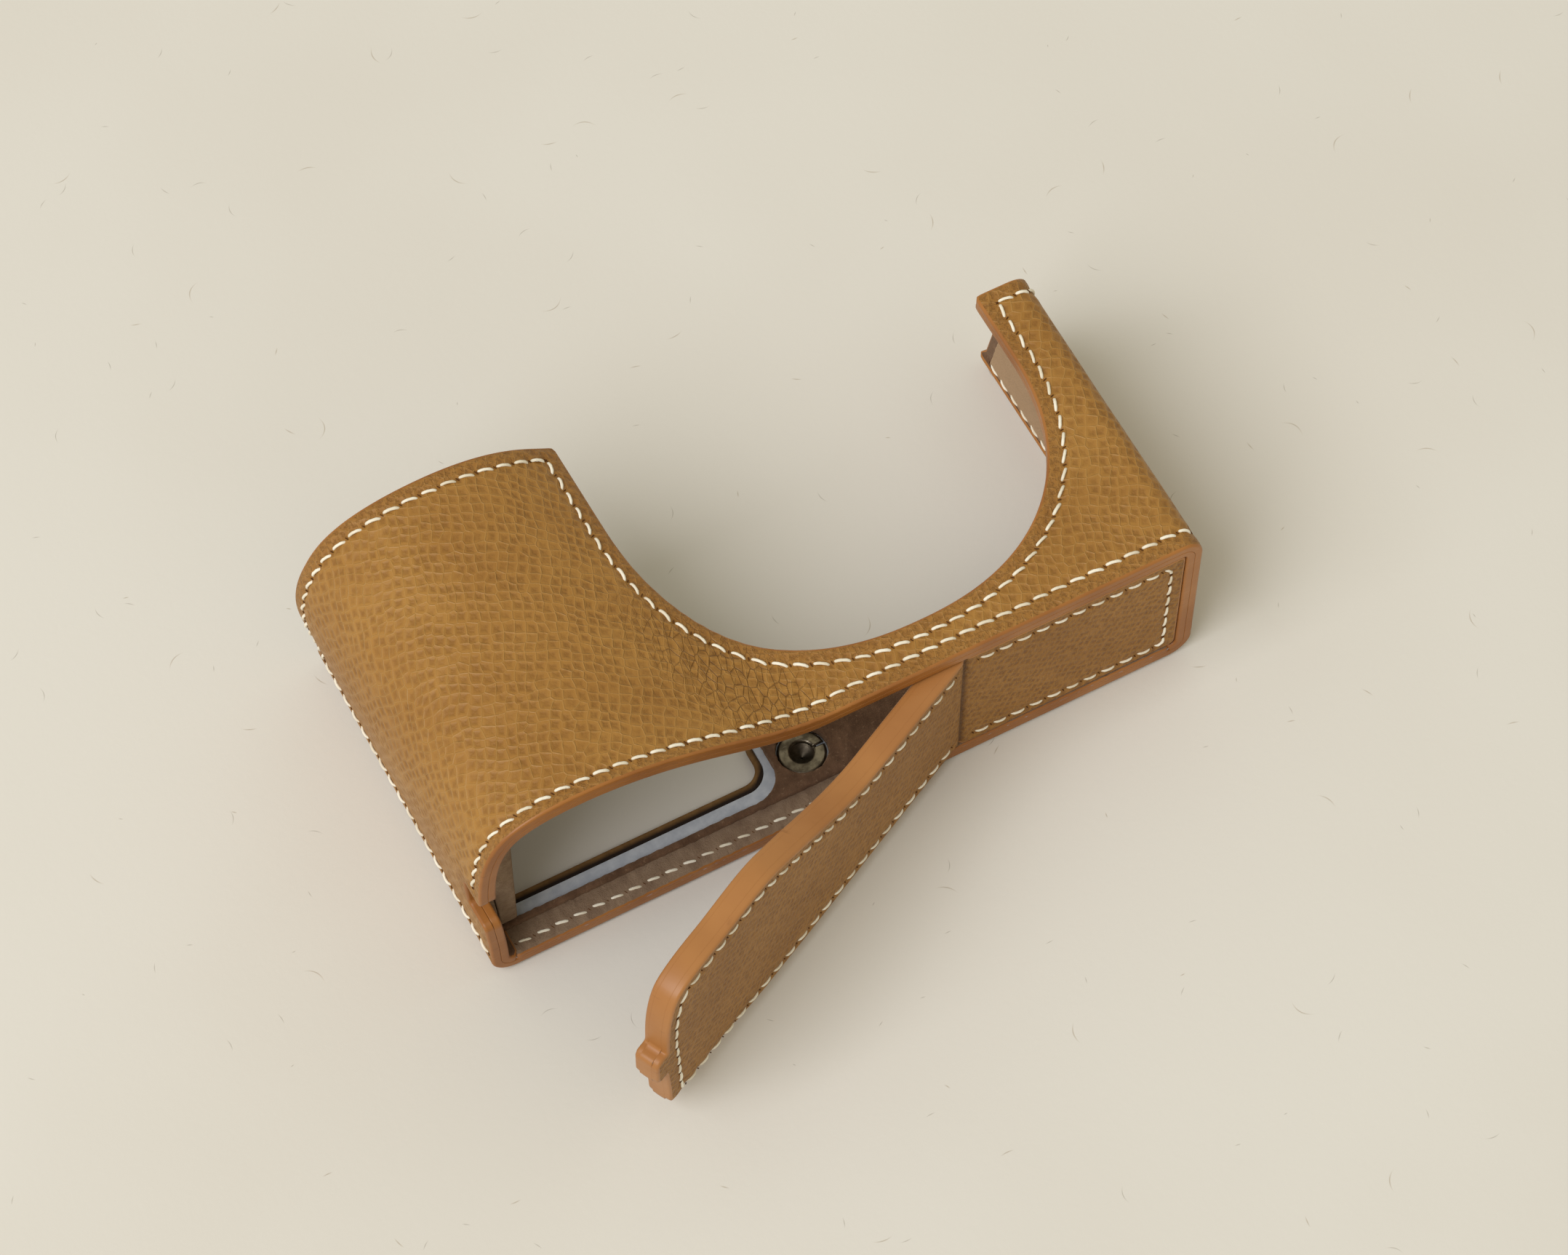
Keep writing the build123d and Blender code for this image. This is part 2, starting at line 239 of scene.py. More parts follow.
def section(k):
    """XZ points round the case at its bottom edge (0) or at the wing's top (1), and their q."""
    seam = np.array([[BACK_SEAM_X, 0.0]])
    parts = [
        seam,
        arc((LEFT + CORNER, CORNER), 270, 180, 60),
        bulge_curve(k, 1500)[0],
        np.linspace((LEFT + FOOT_IN[k], DEPTH), (RIGHT - CORNER, DEPTH), 200),
        arc((RIGHT - CORNER, DEPTH - CORNER), 90, 0, 60),
        np.linspace((RIGHT, DEPTH - CORNER), (RIGHT, CORNER), 60),
        arc((RIGHT - CORNER, CORNER), 0, -90, 60),
        seam,
    ]
    q = [np.linspace(STOPS[i], STOPS[i + 1], len(part)) for i, part in enumerate(parts[1:-1])]
    q = [np.array([-BACK_LEFT])] + q + [np.array([AROUND + BACK_RIGHT])]
    return np.concatenate(q), np.concatenate(parts)


SECTIONS = [section(0), section(1)]


def case_place(q, y):
    """Point on the outer surface at distance q round the case and height y."""
    share = ((y - BOTTOM) / WING_HEIGHT)[:, None]
    at_bottom, at_top = (read_at(q, *line) for line in SECTIONS)
    xz = at_bottom * (1 - share) + at_top * share
    return np.stack([xz[:, 0], y, xz[:, 1]], axis=1)


def case_normal(q, y):
    reach = 0.3
    along = case_place(q + reach, y) - case_place(q - reach, y)
    up = case_place(q, y + reach) - case_place(q, y - reach)
    n = np.cross(along, up)
    return n / np.linalg.norm(n, axis=1)[:, None]


# ------------------------------------------------------------------ outlines, as signed distances


def both(a, b, radius=0.0):
    """Overlap of two zones that are positive inside, its outer corner rounded."""
    if radius <= 0:
        return np.minimum(a, b)
    round_part = radius - np.hypot(np.maximum(radius - a, 0), np.maximum(radius - b, 0))
    return np.where((a < radius) & (b < radius), round_part, np.minimum(a, b))


def either(a, b, radius=0.0):
    """Join of two zones that are positive inside, its inner corner rounded."""
    return -both(-a, -b, radius)


def lens_zone(x, y, grow=0.0):
    """Positive inside the lens opening, grown by grow."""
    a, b = LENS_X + grow, LENS_Y + grow
    drop = np.maximum(LENS_UP - y, 0)
    f = (np.abs(x / a) ** LENS_SQUARE + (drop / b) ** LENS_SQUARE) ** (1 / LENS_SQUARE)
    steep = np.hypot(np.abs(x) / a**2, drop / b**2) / np.maximum(f, 0.2)
    return (1 - f) / np.maximum(steep, 0.01)


def wing_zone(x, y, z, lower=0.0):
    """Positive above the slanted tops of the wings."""
    front = np.where(x < 0, GRIP_TOP, ARM_TOP)
    top = np.where(z < DEPTH, WING_TOP + (front - WING_TOP) * z / DEPTH, front)
    return y - (top - lower)


def back_zone(x, y, at_step=0.0, at_strip=0.0, flange=3.0):
    """Positive in the opening above the back panel, whose edges are set back by the given amounts."""
    from_left = x - (LEFT + flange)
    low_part = both(y - (STRIP_TOP - at_strip), from_left, FLANGE_ROUND)
    low_part = both(low_part, STEP_X + at_step - x, STEP_RADIUS + at_step)
    tall_part = both(y - (TALL_TOP - at_step), RIGHT - flange - x, FLANGE_ROUND)
    tall_part = both(tall_part, from_left, FLANGE_ROUND)
    return either(low_part, tall_part, TALL_RADIUS - at_step)


def snap_zone(x, y, radius):
    return radius - np.hypot(x - SNAP[0], y - SNAP[1])


def notch_zone(y, z):
    return both(both(z - NOTCH[0], NOTCH[1] - z), NOTCH[2] - y, 0.8)


def on_front(q):
    return (q > STOPS[1] + 6) & (q < STOPS[4] - 3)


def case_outline(q, y):
    """Positive outside the case's leather."""
    p = case_place(q, y)
    x, z = p[:, 0], p[:, 2]
    top = wing_zone(x, y, z)
    lens = np.where(on_front(q), lens_zone(x, y), NOWHERE)
    out = np.maximum(BOTTOM - y, either(top, lens, RIM_ROUND))
    back = np.maximum(back_zone(x, y), snap_zone(x, y, CAP_HOLE))
    out = either(out, np.where(z < BACK_BELOW, back, NOWHERE), RIM_ROUND)
    notch = np.where((q > 0) & (q < STOPS[1] + LEFT_WALL_REACH), notch_zone(y, z), NOWHERE)
    return either(out, notch, 0.5)


def lining_outline(q, y):
    return np.maximum(case_outline(q, y), np.maximum(-0.8 - q, q - AROUND - 0.8))


def liner_outline(q, y):
    """Positive outside the second suede layer inside the front and the walls."""
    p = case_place(q, y)
    x, z = p[:, 0], p[:, 2]
    lens = np.where(on_front(q), lens_zone(x, y, ROW_FROM_LENS), NOWHERE)
    out = either(wing_zone(x, y, z, ROW_FROM_TOP + 0.1), lens, RIM_ROUND)
    out = np.maximum(out, LEDGE + SUEDE_LIFT - y)
    return np.maximum(out, np.where(on_front(q), NOWHERE, WALL + LINER + 0.3 - z))


def liner_depth(q, y):
    """The second suede layer hangs off the wall under the grip bulge."""
    x = case_place(q, y)[:, 0]
    share = np.clip((x - LEFT - 10) / 6, 0, 1) * np.clip((LEFT + 74 - x) / 16, 0, 1)
    return WALL + LINER - 0.08 + 1.1 * share * on_front(q)


def arm_wall_light_share(q, y):
    """1 on the arm's inside wall, where painted light makes the suede paler."""
    return np.clip((q - STOPS[4]) / 2, 0, 1) * np.clip((y - BOTTOM - 18) / 10, 0, 1)


# ------------------------------------------------------------------ the sheet maker


def close_pinches(keep, loop):
    """Fills cells so that no two kept cells meet only at a corner."""
    for _ in range(20):
        after = np.roll(keep, -1, 0) if loop else keep[1:]
        here = keep if loop else keep[:-1]
        a, b, c, d = here[:, :-1], after[:, :-1], after[:, 1:], here[:, 1:]
        one = a & c & ~b & ~d
        two = b & d & ~a & ~c
        if not (one.any() or two.any()):
            break
        for i, j in np.argwhere(one):
            keep[(i + 1) % len(keep), j] = True
        for i, j in np.argwhere(two):
            keep[i, j] = True
    return keep


def even_steps(low_end, high_end, cell):
    return np.linspace(low_end, high_end, max(2, round((high_end - low_end) / cell) + 1))


def slide_to_edge(u, v, outline, inset, cell):
    """Moves points along the sheet until they lie on its edge."""
    for _ in range(5):
        d = outline(u, v) + inset
        e = 0.08
        gu = (outline(u + e, v) - outline(u - e, v)) / (2 * e)
        gv = (outline(u, v + e) - outline(u, v - e)) / (2 * e)
        g2 = np.maximum(gu**2 + gv**2, 0.05)
        step_u, step_v = d * gu / g2, d * gv / g2
        size = np.hypot(step_u, step_v)
        k = np.minimum(1, 0.8 * cell / np.maximum(size, 1e-9))
        u, v = u - step_u * k, v - step_v * k
    return u, v


def edge_rings(depths, radii, bulge, total):
    """Steps round a sheet's edge: (distance out, depth), from the outer face to the inner."""
    steps = []
    top, foot = depths
    full = max(radii)
    for angle in (30, 60, 90):
        a = radians(angle)
        steps.append((full - radii[0] * (1 - sin(a)), top + radii[0] * (1 - cos(a))))
    flat = foot - radii[1] - top - radii[0]
    for share in (0.08, 0.5, 0.92):
        steps.append((full, top + radii[0] + flat * share))
    for angle in (90, 60, 30):
        a = radians(angle)
        steps.append((full - radii[1] * (1 - sin(a)), foot - radii[1] * (1 - cos(a))))
    rings = []
    for out, depth in steps:
        share = (depth - total[0]) / (total[1] - total[0])
        rings.append((out + bulge * (1 - (2 * share - 1) ** 2), depth))
    return rings


def make_mesh(name, points, faces, materials, face_slots=None, uv=None, smooth=True):
    mesh = bpy.data.meshes.new(name)
    mesh.from_pydata((np.asarray(points) * MM).tolist(), [], faces)
    for material in materials:
        mesh.materials.append(material)
    if face_slots is not None:
        mesh.polygons.foreach_set("material_index", np.asarray(face_slots, np.int32))
    if uv is not None:
        layer = mesh.uv_layers.new(name="Sheet")
        layer.data.foreach_set("uv", np.asarray(uv, np.float32).ravel())
    mesh.polygons.foreach_set("use_smooth", np.full(len(mesh.polygons), smooth))
    mesh.update()
    piece = bpy.data.objects.new(name, mesh)
    bpy.context.scene.collection.objects.link(piece)
    return piece


def sheet(
    name, us, vs, place, normal, outline, depths, materials, radii,
    loop=0.0, relief=None, bulge=0.0, total=None, marks=None, thickness=None, painted=None,
):
    """A closed sheet: an outer face on a curved grid, rounded edges and an inner face.

    materials are the outer face's, the edge's and the inner face's. loop is the length round
    when the grid closes on itself. marks are named values kept at each point for the materials.
    painted says where the edge takes the fourth material instead of the second.
    """
    us, vs = np.asarray(us, float), np.asarray(vs, float)
    cell = np.median(np.diff(us))
    columns = len(us) - 1
    inset = max(radii)
    mid_u, mid_v = np.meshgrid((us[1:] + us[:-1]) / 2, (vs[1:] + vs[:-1]) / 2, indexing="ij")
    inside = outline(mid_u.ravel(), mid_v.ravel()) + inset < 0
    keep = close_pinches(inside.reshape(mid_u.shape), loop > 0)
    stride = len(vs)
    ij = np.argwhere(keep)
    following = (ij[:, 0] + 1) % columns if loop else ij[:, 0] + 1
    corners = np.stack(
        [
            ij[:, 0] * stride + ij[:, 1], following * stride + ij[:, 1],
            following * stride + ij[:, 1] + 1, ij[:, 0] * stride + ij[:, 1] + 1,
        ],
        axis=1,
    )
    used, quads = np.unique(corners, return_inverse=True)
    quads = quads.reshape(corners.shape)
    u, v = us[used // stride].copy(), vs[used % stride].copy()
    starts = quads.ravel()
    ends = np.roll(quads, -1, axis=1).ravel()
    count = len(used)
    forward = starts.astype(np.int64) * count + ends
    backward = ends.astype(np.int64) * count + starts
    rim = ~np.isin(forward, backward)
    rim_a, rim_b = starts[rim], ends[rim]
    after = np.full(count, -1)
    after[rim_a] = rim_b
    before = np.full(count, -1)
    before[rim_b] = rim_a
    on_rim = np.unique(rim_a)

    def near(a, b):
        """a brought beside b where the grid closes on itself."""
        return a + np.round((b - a) / loop) * loop if loop else a

    near_rim = np.zeros(count, bool)
    near_rim[on_rim] = True
    for _ in range(2):
        touched = near_rim[quads].any(axis=1)
        near_rim[np.unique(quads[touched])] = True
    free = near_rim.copy()
    free[on_rim] = False
    neighbour_a = np.concatenate([starts, ends])
    neighbour_b = np.concatenate([ends, starts])
    for _ in range(4):
        au = near(u[after[on_rim]], u[on_rim])
        bu = near(u[before[on_rim]], u[on_rim])
        u[on_rim] = 0.5 * u[on_rim] + 0.25 * (au + bu)
        v[on_rim] = 0.5 * v[on_rim] + 0.25 * (v[after[on_rim]] + v[before[on_rim]])
        u[on_rim], v[on_rim] = slide_to_edge(u[on_rim], v[on_rim], outline, inset, cell)
        total_u, total_v, number = np.zeros(count), np.zeros(count), np.zeros(count)
        np.add.at(total_u, neighbour_a, near(u[neighbour_b], u[neighbour_a]))
        np.add.at(total_v, neighbour_a, v[neighbour_b])
        np.add.at(number, neighbour_a, 1)
        u[free] = 0.4 * u[free] + 0.6 * total_u[free] / number[free]
        v[free] = 0.4 * v[free] + 0.6 * total_v[free] / number[free]

    base, n = place(u, v), normal(u, v)
    rise = relief(u, v) if relief else np.zeros(count)
    outer = base - n * depths[0] + n * rise[:, None]
    span = thickness(u, v) if thickness else np.full(count, depths[1])
    inner = base - n * span[:, None]
    along = base[after[on_rim]] - base[before[on_rim]]
    out = np.cross(along, n[on_rim])
    out /= np.maximum(np.linalg.norm(out, axis=1), 1e-9)[:, None]
    rings = edge_rings(depths, radii, bulge, total or depths)
    points = [outer, inner]
    first = np.full((len(rings), count), -1)
    at = 2 * count
    for k, (reach, depth) in enumerate(rings):
        lift = rise[on_rim] * max(0.0, 1 - (depth - depths[0]) / (depths[1] - depths[0]))
        real = depth if thickness is None else depth / depths[1] * span[on_rim]
        down = (lift - real)[:, None] if np.ndim(real) or relief else np.full((len(on_rim), 1), -depth)
        points.append(base[on_rim] + out * reach + n[on_rim] * down)
        first[k, on_rim] = at + np.arange(len(on_rim))
        at += len(on_rim)
    chain = [np.arange(count)] + [first[k] for k in range(len(rings))] + [np.arange(count) + count]
    bands = []
    for upper, lower in zip(chain[:-1], chain[1:]):
        bands.append(np.stack([upper[rim_a], lower[rim_a], lower[rim_b], upper[rim_b]], axis=1))
    bands = np.concatenate(bands)
    faces = np.concatenate([quads, quads[:, ::-1] + count, bands])
    slots = np.repeat([0, 2, 1], [len(quads), len(quads), len(bands)])
    if painted:
        with_paint = painted(u[rim_a], v[rim_a])
        slots[2 * len(quads) :] = np.tile(np.where(with_paint, 3, 1), len(rings) + 1)
    points = np.concatenate(points)
    where = np.concatenate([np.arange(count), np.arange(count)] + [on_rim] * len(rings))
    corner_u, corner_v = u[where[faces]], v[where[faces]]
    corner_u = near(corner_u, corner_u[:, :1])
    uv = np.stack([corner_u, corner_v], axis=2) / 10
    piece = make_mesh(name, points, faces.tolist(), materials, slots, uv)
    for label, value in (marks or {}).items():
        mark = piece.data.attributes.new(label, "FLOAT", "POINT")
        mark.data.foreach_set("value", value(u, v)[where].astype(np.float32))
    return piece


# ------------------------------------------------------------------ sewn rows


class Row:
    """A row of stitches along a line on a surface: its holes, and points and directions at any length."""

    def __init__(self, points, normals):
        self.walked = lengths_along(points)
        self.points, self.normals = points, normals
        self.count = max(1, round(self.walked[-1] / STITCH_PITCH))
        self.holes = self.walked[-1] / self.count * np.arange(self.count + 1)

    def at(self, s):
        """The points at lengths s, and the directions out of the surface, along the row and across it."""
        p, n = read_at(s, self.walked, self.points), read_at(s, self.walked, self.normals)
        n /= np.linalg.norm(n, axis=1)[:, None]
        t = read_at(s + 0.3, self.walked, self.points) - read_at(s - 0.3, self.walked, self.points)
        t -= n * (t * n).sum(1)[:, None]
        t /= np.maximum(np.linalg.norm(t, axis=1), 1e-9)[:, None]
        return p, n, t, np.cross(n, t)


SIDES = 8  # of a thread and of a slit
THREAD_STEPS = 11
THREAD_TWIST = 3.2
SLIT_HEIGHTS = (-0.12, -0.02, 0.03)


def tube_faces(at, rings, inside_out):
    """Faces of a closed tube of rings of points, the first of which is point number at."""
    faces = []
    for j in range(rings - 1):
        for i in range(SIDES):
            a, c = at + j * SIDES + i, at + j * SIDES + (i + 1) % SIDES
            faces.append((a, a + SIDES, c + SIDES, c) if inside_out else (a, c, c + SIDES, a + SIDES))
    first = tuple(range(at, at + SIDES))
    last = tuple(i + (rings - 1) * SIDES for i in first)
    return faces + ([first, last[::-1]] if inside_out else [first[::-1], last])


def stitch_meshes(row, seed, width=0.54, rise=0.27, gap=0.38, slant=0.25):
    """Arched, slightly slanted stitches that dive into slanted needle slits, which are dark solids painting
    the shade in the holes.
    """
    rng = np.random.default_rng(seed)
    points, faces = [], []
    at = 0
    share = np.linspace(0, 1, THREAD_STEPS)
    share = 0.5 - 0.5 * np.cos(pi * share) * (0.55 + 0.45 * np.abs(np.cos(pi * share)))
    around = np.linspace(0, 2 * pi, SIDES, endpoint=False)
    for k in range(row.count):
        long = row.holes[k + 1] - row.holes[k]
        give = rng.normal(0, 1, 6)
        start = row.holes[k] + gap + 0.05 * give[0]
        end = row.holes[k] + long - gap + 0.05 * give[1]
        s = start + (end - start) * share
        p, n, t, b = row.at(s)
        arch = 1 - np.abs(2 * share - 1) ** 3.2
        lift = -0.32 + (0.32 + rise * (1 + 0.08 * give[2])) * arch - width * 0.25
        lean = slant * (1 + 0.15 * give[3]) * (1 - 2 * share) + 0.03 * give[4]
        middle = p + n * lift[:, None] + b * lean[:, None]
        forward = np.gradient(middle, axis=0)
        forward /= np.linalg.norm(forward, axis=1)[:, None]
        side = b - forward * (b * forward).sum(1)[:, None]
        side /= np.linalg.norm(side, axis=1)[:, None]
        up = np.cross(forward, side)
        half_wide = width / 2 * (1 + 0.05 * give[5])
        taper = 0.7 + 0.3 * np.clip(arch * 3, 0, 1)
        for j in range(THREAD_STEPS):
            ply = 1 + 0.07 * np.cos(2 * around - THREAD_TWIST * 2 * share[j] * pi)
            r = half_wide * taper[j] * ply
            ring = np.cos(around)[:, None] * side[j] + 0.86 * np.sin(around)[:, None] * up[j]
            points.append(middle[j] + ring * r[:, None])
        faces += tube_faces(at, THREAD_STEPS, False)
        at += THREAD_STEPS * SIDES
    # the slits below are dark solids: painted shade inside the needle holes
    slots = [0] * len(faces)
    p, n, t, b = row.at(row.holes)
    for k in range(row.count + 1):
        cut = b[k] * cos(0.5) - t[k] * sin(0.5)
        across = np.cross(n[k], cut)
        long = 0.38 * (1 + 0.1 * rng.normal())
        for height in SLIT_HEIGHTS:
            grow = 1.0 if height < 0 else 0.62
            ring = np.cos(around)[:, None] * cut * long + np.sin(around)[:, None] * across * 0.1
            points.append(p[k] + n[k] * height + ring * grow)
        faces += tube_faces(at, len(SLIT_HEIGHTS), True)
        at += len(SLIT_HEIGHTS) * SIDES
    slots += [1] * (len(faces) - len(slots))
    return np.concatenate(points), faces, slots


def sew(name, rows, materials, seed, **how):
    """One piece with every stitch of the given rows."""
    points, faces, slots = [], [], []
    at = 0
    for k, row in enumerate(rows):
        p, f, s = stitch_meshes(row, seed + k, **how)
        points.append(p)
        faces += [tuple(i + at for i in face) for face in f]
        slots += s
        at += len(p)
    return make_mesh(name, np.concatenate(points), faces, materials, slots)


def q_at_x(x, y):
    """The q on the front where the surface has this x."""
    fine = np.linspace(STOPS[1] + 20, STOPS[4], 3000)
    out = []
    for a, b in zip(np.atleast_1d(x), np.atleast_1d(y)):
        xs = case_place(fine, np.full(len(fine), b))[:, 0]
        out.append(np.interp(a, xs, fine))
    return np.array(out)


def case_row(q, y, depth=0.0, flip=False):
    """A row through the case's wall, given as points (q, y)."""
    q, y = np.asarray(q, float), np.asarray(y, float)
    rough = np.concatenate([[0], np.cumsum(np.hypot(np.diff(q), np.diff(y)))])
    s = np.linspace(0, rough[-1], max(3, round(rough[-1] / ROW_STEP)))
    q, y = np.interp(s, rough, q), np.interp(s, rough, y)
    p, n = case_place(q, y), case_normal(q, y)
    row = Row(p - n * depth, -n if flip else n)
    row.q, row.y = q, y
    return row


def lens_line(grow):
    """The U at a distance from the lens opening, from the grip's top to the arm's."""
    angle = np.radians(np.linspace(180, 360, 160))
    c, s = np.cos(angle), np.sin(angle)
    x = np.sign(c) * np.abs(c) ** (2 / LENS_SQUARE) * (LENS_X + grow)
    y = LENS_UP + np.sign(s) * np.abs(s) ** (2 / LENS_SQUARE) * (LENS_Y + grow)
    x = np.concatenate([[-LENS_X - grow], x, [LENS_X + grow]])
    y = np.concatenate([[GRIP_TOP - ROW_FROM_TOP], y, [ARM_TOP - ROW_FROM_TOP]])
    return x, y


lens_x, lens_y = lens_line(ROW_FROM_LENS)
lens_q = q_at_x(lens_x, lens_y)
lens_row = case_row(lens_q, lens_y)

left_back_q = TURN + (ROW_FROM_BACK - CORNER)
right_back_q = AROUND - TURN - (ROW_FROM_BACK - CORNER)


def wing_row_height(q, y_guess, lower):
    """The height of the row that runs under a wing's slanted top."""
    y = np.full(len(q), y_guess)
    for _ in range(6):
        p = case_place(q, y)
        y = y - wing_zone(p[:, 0], p[:, 1], p[:, 2], lower)
    return y


grip_q = np.linspace(left_back_q, lens_q[0], 200)
grip_y = wing_row_height(grip_q, GRIP_TOP, ROW_FROM_TOP)
grip_top_row = case_row(grip_q, grip_y)
arm_q = np.linspace(lens_q[-1], right_back_q, 120)
arm_y = wing_row_height(arm_q, ARM_TOP, ROW_FROM_TOP)
arm_top_row = case_row(arm_q, arm_y)
left_back_row = case_row([left_back_q, left_back_q], [BOTTOM + 1.6, grip_y[0]])
right_back_row = case_row([right_back_q, right_back_q], [arm_y[-1], BOTTOM + 1.6])
notch_q = TURN + NOTCH[1] - CORNER + 2.0
bottom_end_q = STOPS[4] - TURN * 0.35
bottom_row = case_row(
    [notch_q, STOPS[2] - 18.0, STOPS[2] + 8.0, bottom_end_q],
    [BOTTOM + ROW_FROM_BOTTOM[0]] * 2 + [BOTTOM + ROW_FROM_BOTTOM[1]] * 2,
)
right_bottom_row = case_row([STOPS[4] - 0.3, right_back_q], [BOTTOM + ROW_FROM_BOTTOM[1]] * 2)
back_x = np.array([LEFT + CORNER + 1.0, RIGHT - CORNER - 1.0])
BACK_ROW_Y = BOTTOM + 2.0


def along_run(corners):
    """Points spaced out along straight runs between corners."""
    corners = np.asarray(corners, float)
    walked = lengths_along(corners)
    return read_at(np.linspace(0, walked[-1], round(walked[-1] / ROW_STEP)), walked, corners)


def back_row(from_x, to_x, z, side):
    """A straight row through the back panel, above the bottom edge."""
    p = along_run([(from_x, BACK_ROW_Y, z), (to_x, BACK_ROW_Y, z)])
    return Row(p, facing((0, 0, side))(p, p))


back_inner_row = back_row(*back_x, SUEDE_TOP, 1)
back_outer_row = back_row(*back_x[::-1], 0.0, -1)
outer_rows = [lens_row, grip_top_row, arm_top_row, left_back_row, right_back_row, bottom_row,
        right_bottom_row]

# ------------------------------------------------------------------ the outer leather's relief


def tree_of(points):
    tree = KDTree(len(points))
    for k, point in enumerate(points):
        tree.insert((point[0], point[1], 0), k)
    tree.balance()
    return tree


def nearest(tree, u, v, reach):
    out = np.full(len(u), reach)
    for k in range(len(u)):
        found = tree.find((u[k], v[k], 0))
        out[k] = min(reach, found[2])
    return out


def row_points(rows):
    """The holes of some rows, and points all along them, as (q, y)."""
    holes, line = [], []
    for row in rows:
        holes += list(zip(*(np.interp(row.holes, row.walked, k) for k in (row.q, row.y))))
        line += list(zip(row.q, row.y))
    return holes, line


def back_q(x):
    """The q of a point on the back panel's outer face."""
    return -(x - LEFT - CORNER) if x < BACK_SEAM_X else AROUND + (RIGHT - CORNER - x)


hole_points, line_points = row_points(outer_rows)
hole_points += [(back_q(x), BACK_ROW_Y) for x in np.linspace(*back_x, back_outer_row.count + 1)]
line_points += [(back_q(x), BACK_ROW_Y) for x in np.arange(*back_x, 0.5)]
hole_tree, line_tree = tree_of(hole_points), tree_of(line_points)


def waves(u, v, seed, size, count=14):
    """Smooth unevenness from -1 to 1 with features about size across."""
    rng = np.random.default_rng(seed)
    out = np.zeros(len(u))
    for _ in range(count):
        way = rng.uniform(0, 2 * pi)
        rate = 2 * pi / size * rng.uniform(0.5, 1.3)
        out += np.sin(rate * (u * cos(way) + v * sin(way)) + rng.uniform(0, 2 * pi))
    return out / count**0.5 / 1.6


VALLEY_Q = float(q_at_x([LEFT + 50.0], [BOTTOM + 12.0])[0])


def valley_share(u, v):
    """1 in the hollow where the bulge runs into the front, near the bottom edge."""
    across = np.exp(-(((u - VALLEY_Q) + 0.35 * (v - BOTTOM - 12)) / 10.0) ** 2)
    return across * np.exp(-(((v - BOTTOM - 8) / 24.0) ** 2))


def leather_relief(u, v):
    hole = nearest(hole_tree, u, v, 3.0)
    line = nearest(line_tree, u, v, 4.0)
    rise = -0.2 * np.exp(-((hole / 0.55) ** 2)) - 0.11 * np.exp(-((line / 0.8) ** 2))
    rise += 0.07 * np.exp(-(((line - 1.9) / 0.8) ** 2))
    rise += 0.05 * waves(u, v, 3, 16.0) * np.clip(line / 4, 0, 1)
    crease = np.sin((u * 0.88 - v * 0.47) * 2 * pi / 2.3 + 1.6 * waves(u, v, 8, 9.0))
    rise += 0.1 * valley_share(u, v) * crease * np.clip(line / 3, 0, 1)
    return np.where(v < WING_TOP + 1, rise, 0)


def margin_share(u, v):
    """1 between a row and the edge it follows, where the grain is pressed flat."""
    inward = -case_outline(u, v)
    return 1 - np.clip((inward - 2.2) / 1.0, 0, 1)


def glue_and_shade_share(u, v):
    """1 in the dark line beside the back panel's board, partly old glue and partly painted shade at the
    board's foot.
    """
    inward = -case_outline(u, v)
    return np.clip((inward - 0.55) / 0.35, 0, 1)


# ------------------------------------------------------------------ the flap and the fixed panel


BEND = 1.1
flat_section = SECTIONS[0][1][1:-1]
section_way = np.gradient(flat_section, axis=0)
section_way /= np.linalg.norm(section_way, axis=1)[:, None]
section_tree = tree_of(flat_section)
FLAP_CLEARANCE = 0.45
FLAP_OVER_STITCHES = 0.9
FLAP_BACK = LEDGE - 0.1
TONGUE_END = LEFT + 2.4
TONGUE = (NOTCH[0] + 0.5, NOTCH[1] - 0.5)
CORE_TOP = COVER_FACE + COVER_LEATHER


def inside_section(x, z):
    """Distance inside the case's outer section at the bottom edge."""
    out = np.empty(len(x))
    for k in range(len(x)):
        _, i, _ = section_tree.find((x[k], z[k], 0))
        away = np.array((x[k], z[k])) - flat_section[i]
        out[k] = away[0] * section_way[i, 1] - away[1] * section_way[i, 0]
    return out


def smooth_share(value, start, end):
    """0 before start, 1 after end, with a smooth run between."""
    share = np.clip((value - start) / (end - start), 0, 1)
    return share * share * (3 - 2 * share)


def flap_trim(x, z):
    """How much shorter than its opening the flap's far end is cut."""
    return smooth_share(x, -48.0, -64.0) * (2.0 + 0.8 * smooth_share(z, 17.0, 26.0))


def cover_outline(x, z):
    """Positive outside the flap and the fixed panel, laid out closed."""
    share = np.clip((HINGE_X + 0.6 - x) / 1.2, 0, 1)
    inset = WALL + 0.12 + (FLAP_CLEARANCE - 0.12) * share + flap_trim(x, z)
    back = COVER_BACK + FLAP_OVER_STITCHES * share
    body = both(inside_section(x, z) - inset, z - back, 1.6)
    tongue = both(both(z - TONGUE[0], TONGUE[1] - z, 0), both(x - TONGUE_END, LEFT + 11 - x, 0), 0.4)
    return -either(body, tongue, 0.3)


def flap_outline(x, z):
    return np.maximum(cover_outline(x, z), x - (HINGE_X - 0.55))


def panel_outline(x, z):
    return np.maximum(cover_outline(x, z), (HINGE_X + 0.55) - x)


def opened(points, angles):
    """Points turned about the fold line by angles in degrees."""
    a = np.radians(angles)
    x, y = points[:, 0] - HINGE_X, points[:, 1] - COVER_FACE
    turned = points.copy()
    turned[:, 0] = HINGE_X + x * np.cos(a) - y * np.sin(a)
    turned[:, 1] = COVER_FACE + x * np.sin(a) + y * np.cos(a)
    return turned


def cover_turn(x):
    share = np.clip((HINGE_X + BEND - x) / (2 * BEND), 0, 1)
    return FLAP_OPEN * share * share * (3 - 2 * share)


def closed_place(x, z):
    """Points on the outer face of the flap and panel, laid out closed."""
    return np.stack([x, np.full(len(x), COVER_FACE), z], axis=1)


